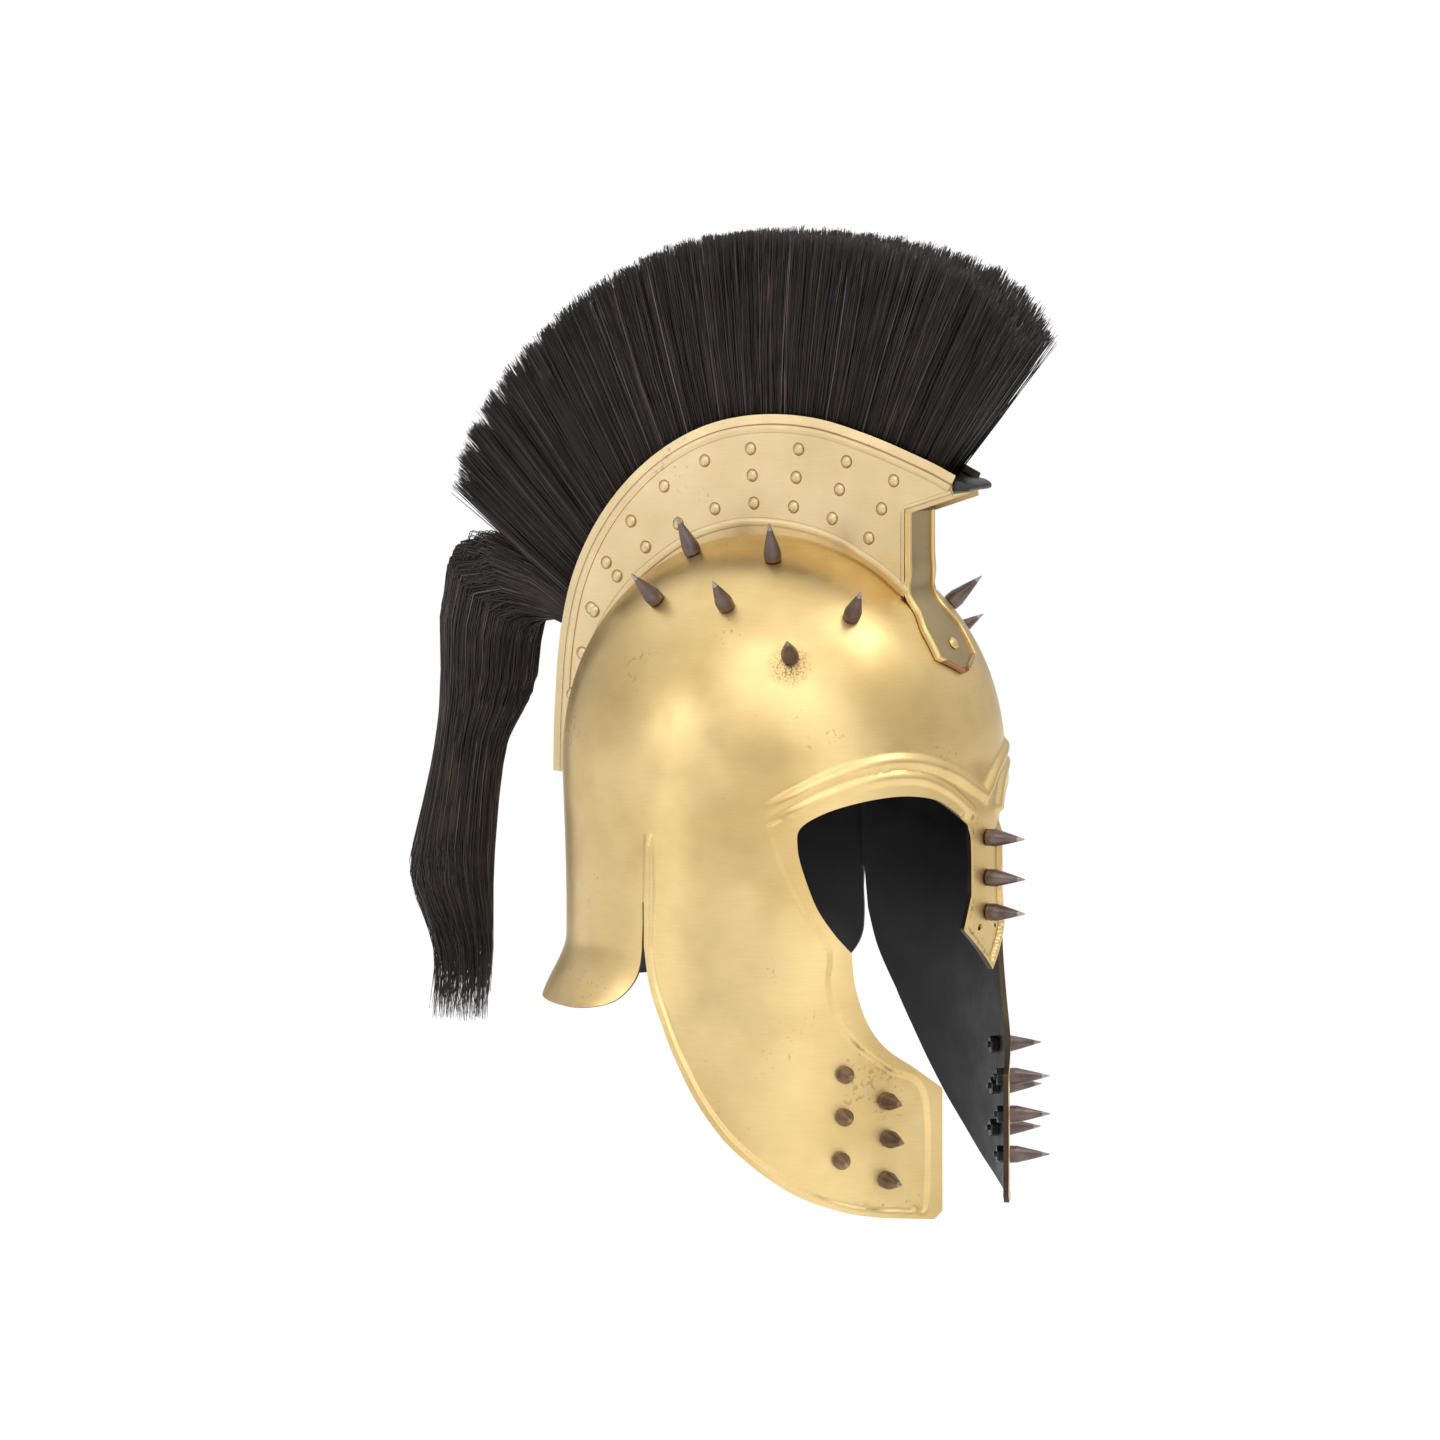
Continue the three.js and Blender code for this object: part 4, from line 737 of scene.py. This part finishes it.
def slab(outline, rows):
    """Closed flat body from an outline of back and up. Each row is a place across and an inset."""
    n = len(outline)
    tangent = unit(np.roll(outline, -1, axis=0) - np.roll(outline, 1, axis=0))
    area = np.sum(outline[:, 0] * np.roll(outline[:, 1], -1) - np.roll(outline[:, 0], -1) * outline[:, 1])
    inwards = np.stack([-tangent[:, 1], tangent[:, 0]], -1) * np.sign(area)
    points = np.vstack([np.column_stack([np.full(n, x), outline + inwards * inset]) for x, inset in rows])
    i = np.arange(n * (len(rows) - 1))
    k = i - i % n + (i + 1) % n
    sides = wall(i, k, n) if area > 0 else wall(k, i, n)
    cap = triangulated(outline, np.zeros((0, 2)))[1]
    a, b, c = points[cap[:, 0]], points[cap[:, 1]], points[cap[:, 2]]
    cap = cap if np.cross(b - a, c - a)[:, 0].sum() > 0 else cap[:, ::-1]
    return points, outward(points, np.vstack([cap[:, ::-1], cap + len(i), sides]))


def swept(path, profile, side):
    """Strip along a path in the middle plane. The profile holds (across the strip, out of the plate)."""
    along = unit(np.gradient(path, axis=0))
    over = np.stack([-along[:, 1], along[:, 0]], -1)
    rings = np.zeros((len(path), len(profile), 3))
    rings[:, :, 0] = side * profile[:, 1]
    rings[:, :, 1:] = path[:, None, :] + over[:, None, :] * profile[:, :1]
    return loft(rings)


def lathe(profile, point, direction, sides):
    """Closed body turned from a profile of (radius, height) about a direction."""
    direction = unit(np.asarray(direction, float))
    a = unit(np.cross(direction, [0.31, 0.22, 0.93]))
    b = np.cross(direction, a)
    angles = np.linspace(0, 2 * math.pi, sides, endpoint=False)
    circle = np.cos(angles)[:, None] * a + np.sin(angles)[:, None] * b
    return loft([point + circle * radius + direction * height for radius, height in profile])


def dome(point, direction, radius, height):
    """Low round head with a flat back, sunk a little into what carries it."""
    climb = np.linspace(0, math.pi / 2, 7)[:-1]
    profile = [(radius, -0.5), *zip(radius * np.cos(climb), height * np.sin(climb)), (radius * 0.04, height)]
    return lathe(profile, point, direction, 20)


def bead_profile(width, base, proud, count=9):
    """Rounded strip: from the plate's edge inwards, standing proud of the plate."""
    t = np.linspace(0, math.pi, count)
    across = width * (0.5 - 0.5 * np.cos(t))
    out = base + proud * np.sin(t) ** 0.6
    back = [(width, base - 0.7), (0, base - 0.7)]
    return np.vstack([np.stack([-across, out], -1), back])


def build_holder(brass, patina, paint, ring):
    low_turns = np.linspace(turn_at_front(HOLDER_FRONT), REAR_TURN, 110)
    high_turns = np.linspace(REAR_TURN, HOLDER_EDGE[0, 0], 110)
    lower = polar(low_turns, lower_radius(low_turns))
    upper = polar(high_turns, upper_radius(high_turns))
    lip = np.array([[-LIP_REACH, LIP_LEVEL + LIP_HEIGHT], [-LIP_REACH, LIP_LEVEL]])
    throat = np.array([[-HOLDER_FRONT, THROAT_LEVEL]])
    outline = np.vstack([throat, lower, upper, lip])
    floor_path = np.vstack([filled(np.vstack([lip[1:], throat]), 3),
                            filled(np.vstack([throat, lower[:1]]), 3)[1:], lower[1:]])
    half = HOLDER_HALF - HOLDER_SHEET + 0.2
    corners = [(0, -half), (0, half), (HOLDER_SHEET, half), (HOLDER_SHEET, -half)]
    points, faces = swept(floor_path, np.array(corners), 1)
    # Behind the throat the floor strip takes the black paint: partly the holder's painted inside, partly
    # painted shade for the dark gap under the holder over the crown.
    below = points[faces].mean(1)[:, 1] > 3 - HOLDER_FRONT
    parts = [(points, faces[~below], 0), (points, faces[below], 2)]
    top_path = filled(np.vstack([lip[:1], upper[::-1]]), 2.2)
    slim = bead_profile(2.2, HOLDER_HALF, 0.7)
    strips = [(top_path, bead_profile(4.6, HOLDER_HALF, 0.95), 0),
              (top_path, bead_profile(1.0, HOLDER_HALF, 0.75) + [-0.1, 0], 1),
              (filled(lower, 2.2), bead_profile(4.4, HOLDER_HALF, 0.85) * [-1, 1], 0),
              (filled(np.vstack([lower[:1], throat - [[0, 1.0]]]), 2.0), slim, 0),
              (filled(np.vstack([throat, lip[1:]]), 2.0), slim, 0)]
    for side in (-1, 1):
        rows = [(side * (HOLDER_HALF - HOLDER_SHEET), 0), (side * HOLDER_HALF, 0)]
        parts.append((*slab(outline, rows), 0))
        parts += [(*swept(path, profile, side), look) for path, profile, look in strips]
        for share, count in BOSS_ROWS:
            for turn in BOSS_START_TURN + BOSS_STEP * np.arange(count):
                floor = lower_radius(turn)
                low = floor + BOSS_MARGIN * 0.8
                high = max(upper_radius(turn) - BOSS_MARGIN, floor + BOSS_RADIUS * 2.2)
                spot = np.array([side * HOLDER_HALF, *polar(turn, low + (high - low) * share)])
                parts.append((*dome(spot, [side, 0, 0], BOSS_RADIUS, BOSS_HEIGHT), 0))
                # Thin dark disc round the foot of each boss: painted shade in the crease round it.
                parts.append((*dome(spot, [side, 0, 0], BOSS_RADIUS + 0.35, 0.25), 3))
    make_piece("holder", parts, [brass, patina, paint, ring], ["crest_holder"], 40)


# Front strap
def sag_at(reach, y, z, out):
    """How far the bowl falls away beside the middle plane, along the normal at a spot on it."""
    near, far = 0.0, 8.0
    for _ in range(24):
        sag = (near + far) / 2
        depth = sag + END_GAP
        across = (reach / BOWL_HALF_WIDTH) ** 2
        ahead = ((y - out[0] * depth) / BOWL_HALF_LENGTH) ** 2
        above = (max(z - out[1] * depth, 0) / BOWL_RISE) ** FULLNESS
        if (across + ahead) ** (FULLNESS / 2) + above > 1:
            near = sag
        else:
            far = sag
    return near


def build_strap(dull, patina, bright):
    clear = HOLDER_FRONT + SEAT_GAP
    start = turn_at_front(clear + 5)
    path, halves = [], []
    for z in np.linspace(THROAT_LEVEL - 1, 98, 12):
        path.append((-clear, z))
        halves.append(STRAP_HALF + 0.6 * smooth((112 - z) / 14))
    for share in np.linspace(0, 1, 44):
        turn = start + (STRAP_TIP_TURN - start) * share
        path.append(tuple(polar(turn, bowl_radius(turn) + END_GAP)))
        wide = STRAP_HALF + 1 + (STRAP_FOOT_HALF - STRAP_HALF - 1) * smooth(share / 0.4)
        halves.append(wide * np.interp(share, [0, 0.77, 1], [1, 1, 0.12]))
    path = np.array(path)
    for _ in range(8):
        path[1:-1] = (path[:-2] + 2 * path[1:-1] + path[2:]) / 4
    along = unit(np.gradient(path, axis=0))
    rings = []
    for i, (y, z) in enumerate(path):
        out = np.array([along[i, 1], -along[i, 0]])
        half = halves[i]
        lying = smooth((i - 9) / 5)
        rim = min(STRAP_RIM_WIDTH * (1.7 if i > len(path) - 11 else 1), half * 0.5)

        def fall(x):
            return -lying * sag_at(abs(x), y, z, out)

        ring = [(x, fall(x)) for x in np.linspace(-half, half, 15)]
        for sign in (1, -1):
            for step in np.linspace(0, math.pi, 7):
                x = sign * (half - rim / 2 + rim / 2 * math.cos(step if sign > 0 else math.pi - step))
                ring.append((x, fall(x) + STRAP_SHEET + STRAP_RIM_HEIGHT * math.sin(step) ** 0.7))
            if sign > 0:
                ring += [(x, fall(x) + STRAP_SHEET) for x in np.linspace(half - rim, rim - half, 9)[1:-1]]
        rings.append([(x, y + out[0] * s, z + out[1] * s) for x, s in ring])
    points, faces = loft(rings)
    row = np.min(faces, axis=1) // len(rings[0])
    reach = np.abs(points[faces].mean(1)[:, 0]) - np.append(halves, 0)[np.minimum(row, len(halves) - 1)]
    on_rim = (reach > -STRAP_RIM_WIDTH - 0.4) | (row > len(path) - 5)
    looks = np.where(on_rim, np.where(row > len(path) - 10, 1, 2), 0)
    make_piece("strap", [(points, faces, looks)], [dull, patina, bright], ["front_strap"], 38)


# Studs and rivets
def stud_parts(turn, level):
    point, normal = sheet(turn, level), sheet_normal(turn, level)
    r, s, top = STUD_RADIUS, STUD_SHOULDER, STUD_LENGTH
    cone = [(0.1, SEAT_GAP), (r - 0.4, SEAT_GAP), (r, SEAT_GAP + 0.4), (r + 0.05, s * 0.55), (r, s),
            (r - 0.25, s + 0.9), (r * 0.62, s + (top - s) * 0.42), (r * 0.30, s + (top - s) * 0.75),
            (0.45, top - 0.9), (0.22, top - 0.25), (0.03, top)]
    end = -WALL - NUT_GAP - NUT_THICKNESS - 0.8
    shank = [(0.05, end), (SHANK_RADIUS, end), (SHANK_RADIUS, SEAT_GAP + 0.3), (0.05, SEAT_GAP + 0.3)]
    face = -WALL - NUT_SEAT
    back = face - NUT_THICKNESS
    nut = [(SHANK_RADIUS, back), (NUT_RADIUS - 0.5, back), (NUT_RADIUS, back + 0.5), (NUT_RADIUS, face - 0.3),
           (NUT_RADIUS - 0.3, face), (SHANK_RADIUS, face)]
    points, faces = lathe(cone, point, normal, 32)
    tip = ((points[faces].mean(1) - point) @ normal) > s + (top - s) * 0.8
    return [(points, faces, np.where(tip, 2, 0)), (*lathe(shank, point, normal, 12), 1),
            (*lathe(nut, point, normal, 6), 1)]


def build_studs(bronze, nut_look, tip_look):
    studs = {"bowl": [], "cheek": [], "nasal": []}
    for side, word in ((-1, "right"), (1, "left")):
        for (turn, rise), name in zip(BOWL_STUDS, BOWL_STUD_NAMES):
            studs["bowl"].append((f"stud_{word}_{name}", side * turn, level_at(rise * BOWL_RISE)))
        for (turn, drop), name in zip(CHEEK_STUDS, CHEEK_STUD_NAMES):
            studs["cheek"].append((f"stud_{word}_cheek_{name}", side * turn, -drop))
    for i, share in enumerate(NASAL_STUD_DROPS):
        studs["nasal"].append((f"stud_nasal_{i + 1}", 0.0, level_at(-share * NASAL_DROP)))
    for word, rows in studs.items():
        parts = [part for _, turn, level in rows for part in stud_parts(turn, level)]
        make_piece(f"studs_{word}", parts, [bronze, nut_look, tip_look], [row[0] for row in rows],
                   30)


def build_rivets(brass):
    for name, turn, stack in (("front_rivet", FRONT_RIVET_TURN, END_GAP + STRAP_SHEET),
                              ("rear_rivet", REAR_RIVET_TURN, END_GAP + HOLDER_SHEET)):
        level = level_at(bowl_radius(turn) * math.sin(math.radians(turn)))
        around = 0.0 if turn < 90 else 180.0
        point, normal = sheet(around, level), sheet_normal(around, level)
        r, high = RIVET_RADIUS, RIVET_HEAD
        out, face = stack + NUT_SEAT, -WALL - NUT_SEAT
        head = [(0.05, face - high), (r * 0.7, face - high * 0.8), (r, face - 0.2), (r, face),
                (SHANK_RADIUS, face), (SHANK_RADIUS, out), (r, out), (r, out + 0.3),
                (r * 0.86, out + high * 0.6), (r * 0.5, out + high * 0.92), (0.05, out + high)]
        make_piece(f"{name}_head", [(*lathe(head, point, normal, 24), 0)], [brass], [name], 40)


# Hair
def strands(paths, radii, sides=3):
    """Thin closed tapered strands along paths of shape (strand, step, 3)."""
    count, steps = paths.shape[:2]
    along = unit(np.gradient(paths, axis=1))
    across = unit(np.cross(along, np.array([0.43, 0.29, 0.86])))
    other = np.cross(along, across)
    start = chance.uniform(0, 2 * math.pi, (count, 1, 1))
    angles = start + np.arange(sides) * 2 * math.pi / sides
    ring = np.cos(angles)[..., None] * across[:, :, None, :] + np.sin(angles)[..., None] * other[:, :, None, :]
    points = paths[:, :, None, :] + ring * radii[:, :, None, None]
    index = np.arange(count * steps * sides).reshape(count, steps, sides)
    after = np.roll(index, -1, axis=2)
    faces = [wall(index[:, :-1].ravel(), after[:, :-1].ravel(), sides), index[:, 0, ::-1], index[:, -1]]
    return points.reshape(-1, 3), np.vstack(faces), 0


def fan_turns(share):
    """Turns of the root and of the tip at a share of the fan, from its front to its rear."""
    start = HAIR_FRONT_TURN + HAIR_ROOT_LEAD
    root = start + (HAIR_REAR_TURN - start) * share
    return root, HAIR_FRONT_TURN + (HAIR_REAR_TIP_TURN - HAIR_FRONT_TURN) * share


def fan_paths(count, side):
    """Bristles of one side of the fan, from the channel to the trimmed edge."""
    share = chance.uniform(0, 1, count)
    share = np.clip(share + 0.004 * np.sin(share * 140 + chance.uniform(0, 1, count)), 0, 1)
    depth = chance.uniform(0, 1, count) ** 0.6
    root_turn, tip_turn = fan_turns(share)
    tip_turn = tip_turn + np.clip(chance.normal(0, 0.38, count), -0.8, 0.8)
    loose = chance.uniform(0, 1, count) > 0.10
    for at, gap, reach in PARTINGS:
        off = share - at
        tip_turn = tip_turn + loose * np.sign(off) * gap * np.exp(-np.abs(off) / reach)
    edge = upper_radius(np.maximum(root_turn, HOLDER_EDGE[0, 0]))
    trim = HAIR_LENGTH * curve(HAIR_EDGE, 1, share)
    clump = np.sin(share * 310) + np.sin(share * 177 + 1.3) + np.sin(share * 533 + depth * 2)
    trim = trim - 0.6 + 0.7 * clump - np.abs(chance.normal(0, 1.4, count))
    short = chance.uniform(0, 1, count) < 0.12
    trim = np.where(short, trim - chance.uniform(3, 26, count), trim)
    root, tip = polar(root_turn, edge - 7), polar(tip_turn, edge + trim)
    inner = (HOLDER_HALF - HOLDER_SHEET - 2.2) * depth
    outer = (HAIR_SPREAD - 1.5) * depth + chance.normal(0, 0.8, count)
    paths = np.zeros((count, len(HAIR_STEPS), 3))
    bend = chance.normal(0, 0.8, (count, 2))
    for k, t in enumerate(HAIR_STEPS):
        sway = math.sin(math.pi * t)
        paths[:, k, 0] = side * (inner + (outer - inner) * t**0.8 + bend[:, 0] * sway)
        paths[:, k, 1:] = root + (tip - root) * t
        paths[:, k, 1] += bend[:, 1] * sway
    return paths


def build_fan(look, core_painted_shade_look):
    for side, word in ((-1, "right"), (1, "left")):
        paths = fan_paths(FAN_HAIRS, side)
        radius = chance.uniform(0.24, 0.36, (len(paths), 1)) * np.array([[1.0, 0.95, 0.8, 0.45]])
        make_piece(f"plume_hair_{word}", [strands(paths, radius)], [look], ["crest_plume"])
    # Core inside the fan, in the darker copy of the hair: painted shade within the hair.
    rings = []
    for share in np.linspace(0.02, 0.93, 60):
        root_turn, tip_turn = fan_turns(share)
        edge = upper_radius(max(root_turn, HOLDER_EDGE[0, 0]))
        full = np.interp(share, [0.74, 0.82], [0.86, 0.36])
        root = polar(root_turn, edge - 6)
        tip = polar(tip_turn, edge + HAIR_LENGTH * curve(HAIR_EDGE, 1, share) * full)
        rings.append([(across * (6.5 + 5.5 * t * full), *(root + (tip - root) * t))
                      for across, t in CORE_RING])
    make_piece("plume_core", [(*loft(rings), 0)], [core_painted_shade_look], ["crest_plume"], 60)


def build_base(look):
    """Back of the brush: a bar in the channel with a rounded nose ahead of the lip."""
    turns = np.linspace(HAIR_REAR_TURN, HAIR_FRONT_TURN + 3, 60)
    top = polar(turns, upper_radius(turns) - 1.2)
    low = polar(turns[::-1], upper_radius(turns[::-1]) - 9)
    nose = spline([(-98, 148.3), (-106, 148.2), (-112, 147.6), (-115.6, 145.4), (-114.6, 142.9), (-107, 142.4),
                   (-98, 142.3)], 24)
    half = HOLDER_HALF - HOLDER_SHEET - 0.4
    rows = [(half - 1.2, 0), (half - 0.5, 0.2), (half, 0.8)]
    rows = [(-x, inset) for x, inset in rows[::-1]] + rows
    parts = [(*slab(np.vstack([top, nose, low]), rows), 0)]
    make_piece("brush_base", parts, [look], ["crest_plume"], 35)


def tail_frame(t):
    """Middle, depth direction and thickness of the tail at shares of its line."""
    keys = np.linspace(0, 1, len(TAIL_LINE))
    table = np.column_stack([keys, TAIL_LINE])
    back, down, size, tilt = (curve(table, k, t) for k in (1, 2, 3, 4))
    turn = HAIR_REAR_TURN + TAIL_HEAD_TURN / 2
    root = polar(turn, upper_radius(turn) - 5)
    middle = np.stack([root[0] + back * TAIL_LENGTH, root[1] - down * TAIL_LENGTH], -1)
    deep = np.stack([np.cos(np.radians(tilt)), np.sin(np.radians(tilt))], -1)
    return middle, deep, size, back


def tail_paths(count, reach_low, steps, spread):
    """Long hairs of the tail, in slightly twisted bunches."""
    radius = np.sqrt(chance.uniform(0, 1, count)) ** 0.7 * spread
    angle = chance.uniform(0, 2 * math.pi, count)
    bunch = np.round(angle * 23 / (2 * math.pi)) * (2 * math.pi) / 23
    end = reach_low + (1.02 - reach_low) * chance.uniform(0, 1, count) ** 7
    phase = chance.uniform(0, 2 * math.pi, count)
    paths = np.zeros((count, steps, 3))
    for k in range(steps):
        share = k / (steps - 1)
        t = share * end
        middle, deep, size, back = tail_frame(t)
        gather = 0.25 * smooth(np.array(share * 1.4 - 0.2))
        a = angle + (bunch - angle) * gather + 0.5 * math.sin(share * 3.0)
        thin = radius * (1 - 0.06 * gather)
        wave = (0.9 + 2.2 * smooth((t - 0.78) / 0.25)) * np.sin(phase + share * 9)
        size = np.maximum(size, 0.60 * smooth((t - 0.7) / 0.12))
        wide = np.minimum(TAIL_HALF_WIDTH * size, HAIR_CHANNEL_HALF + 100 * back)
        paths[:, k, 0] = wide * thin * np.sin(a) + wave * smooth(np.array(share * 3))
        offset = TAIL_HALF_DEPTH * size * thin * np.cos(a) + wave * smooth(np.array(share * 3))
        paths[:, k, 1:] = middle + deep * offset[:, None]
    return paths


def build_tail(look, core_painted_shade_look):
    for word, low in (("inner", 0.79), ("outer", 0.82)):
        paths = tail_paths(TAIL_HAIRS, low, TAIL_STEPS, 0.97)
        taper = np.interp(np.linspace(0, 1, TAIL_STEPS), [0, 0.8, 1], [1.0, 0.85, 0.25])
        radius = chance.uniform(0.26, 0.42, (len(paths), 1)) * taper[None, :]
        make_piece(f"tail_hair_{word}", [strands(paths, radius)], [look], ["plume_tail"])
    # Core inside the tail, in the darker copy of the hair: painted shade within the hair.
    rings = []
    for t in np.linspace(0.02, 0.74, 36):
        middle, deep, size, back = tail_frame(np.array(t))
        wide = min(TAIL_HALF_WIDTH * size, HAIR_CHANNEL_HALF + 100 * back) * 0.78
        thick = TAIL_HALF_DEPTH * size * 0.78
        angles = np.linspace(0, 2 * math.pi, 16, endpoint=False)
        rings.append([(wide * math.sin(a), *(middle + deep * thick * math.cos(a))) for a in angles])
    make_piece("tail_core", [(*loft(rings), 0)], [core_painted_shade_look], ["plume_tail"], 60)


# Camera, floor and light
def build_camera():
    turn, climb = math.radians(CAMERA_TURN), math.radians(CAMERA_CLIMB)
    right = Vector((math.cos(turn), -math.sin(turn), 0))
    back = Vector((-math.sin(turn) * math.cos(climb), -math.cos(turn) * math.cos(climb), math.sin(climb)))
    up = back.cross(right)
    aim = right * VIEW_SHIFT[0] + up * VIEW_SHIFT[1] - Vector((0, 0, FRAME_DROP))
    camera = bpy.data.objects.new("camera", bpy.data.cameras.new("camera"))
    camera.data.sensor_width = 36
    camera.data.lens = 36 * CAMERA_DISTANCE / VIEW_WIDTH
    camera.data.clip_start, camera.data.clip_end = 0.1, 200
    camera.location = (aim + back * CAMERA_DISTANCE) * 0.001
    camera.rotation_mode = "QUATERNION"
    camera.rotation_quaternion = (-back).to_track_quat("-Z", "Y")
    scene.collection.objects.link(camera)
    scene.camera = camera
    return right, up, back


def build_light(name, view, spot, size, watts):
    """Soft box at a spot given in metres along the camera's right, up and back."""
    data = bpy.data.lights.new(name, "AREA")
    data.shape = "RECTANGLE"
    data.size, data.size_y = size
    data.energy = watts
    light = bpy.data.objects.new(name, data)
    right, up, back = view
    light.location = right * spot[0] + up * spot[1] + back * spot[2]
    light.rotation_mode = "QUATERNION"
    light.rotation_quaternion = (LIGHT_TARGET - light.location).to_track_quat("-Z", "Y")
    scene.collection.objects.link(light)


def build_floor():
    corners = [(x * FLOOR_HALF, y * FLOOR_HALF, FLOOR_LEVEL) for x, y in ((-1, -1), (1, -1), (1, 1), (-1, 1))]
    mesh = bpy.data.meshes.new("floor")
    mesh.from_pydata(corners, [], [(0, 1, 2, 3)])
    look = new_look("floor")
    tone = look.ramp(look.noise(2.0, detail=2), (0.3, 0.965), (0.7, 0.975))
    mesh.materials.append(look.finished(tone, 0.9))
    floor = bpy.data.objects.new("floor", mesh)
    scene.collection.objects.link(floor)


def build_world(low, high):
    """White sky, dimmer towards the horizon."""
    scene.world = bpy.data.worlds.new("studio")
    look = Look(scene.world)
    split = look.add("SeparateXYZ")
    look.feed(split.inputs[0], look.where["Generated"])
    background = look.nodes["Background"]
    look.feed(background.inputs["Color"], look.ramp(split.outputs["Z"], (0.10, low), (0.85, high)))
    background.inputs["Strength"].default_value = 1.0


stain_spot = sheet(-58.9, level_at(0.50 * BOWL_RISE))
brass = brass_material("brass_shell", (0.80, 0.60, 0.285), (0.66, 0.47, 0.20), 0.36, tuple(place(stain_spot)))
pale_brass = brass_material("brass_holder", (0.72, 0.57, 0.34), (0.63, 0.49, 0.27), 0.40)
edge_brass = brass_material("brass_edge", (0.12, 0.085, 0.05), (0.05, 0.035, 0.025), 0.45)
strap_brass = brass_material("brass_strap", (0.43, 0.33, 0.18), (0.33, 0.25, 0.13), 0.42)
# Dark brass of the thin discs round the bosses' feet: painted shade.
boss_painted_shade_brass = brass_material("brass_boss_painted_shade", (0.30, 0.21, 0.11), (0.20, 0.14, 0.07), 0.45)
patina = brass_material("brass_patina", (0.42, 0.22, 0.13), (0.24, 0.11, 0.06), 0.45)
paint = black_paint()
bronze = bronze_material("bronze_stud", (0.19, 0.14, 0.125), (0.105, 0.075, 0.065), 0.36)
tip_look = bronze_material("bronze_tip", (0.42, 0.36, 0.33), (0.22, 0.18, 0.16), 0.30)
nut_look = bronze_material("bronze_nut", (0.07, 0.065, 0.065), (0.03, 0.028, 0.028), 0.4)
hair = hair_material("horse_hair", 2.5)
# Darker copy of the hair for the hidden cores: painted shade inside the fan and the tail.
core = hair_material("hair_core_painted_shade", 0.6)
back_look = base_material()

build_shell(brass, paint, edge_brass)
build_holder(pale_brass, patina, paint, boss_painted_shade_brass)
build_strap(strap_brass, patina, brass)
build_studs(bronze, nut_look, tip_look)
build_rivets(brass)
build_fan(hair, core)
build_base(back_look)
build_tail(hair, core)

view = build_camera()
build_floor()
build_world(0.52, 1.25)
build_light("soft", view, (-0.8, 1.3, 2.4), (2.4, 2.0), 16.5)
build_light("left", view, (-2.18, 0.28, 0.99), (0.6, 0.6), 4.2)
build_light("front", view, (0.5, 0.1, 3.0), (1.6, 1.6), 7)
build_light("right", view, (1.05, 1.9, 0.98), (0.8, 0.8), 9)
scene.view_settings.view_transform = "Standard"
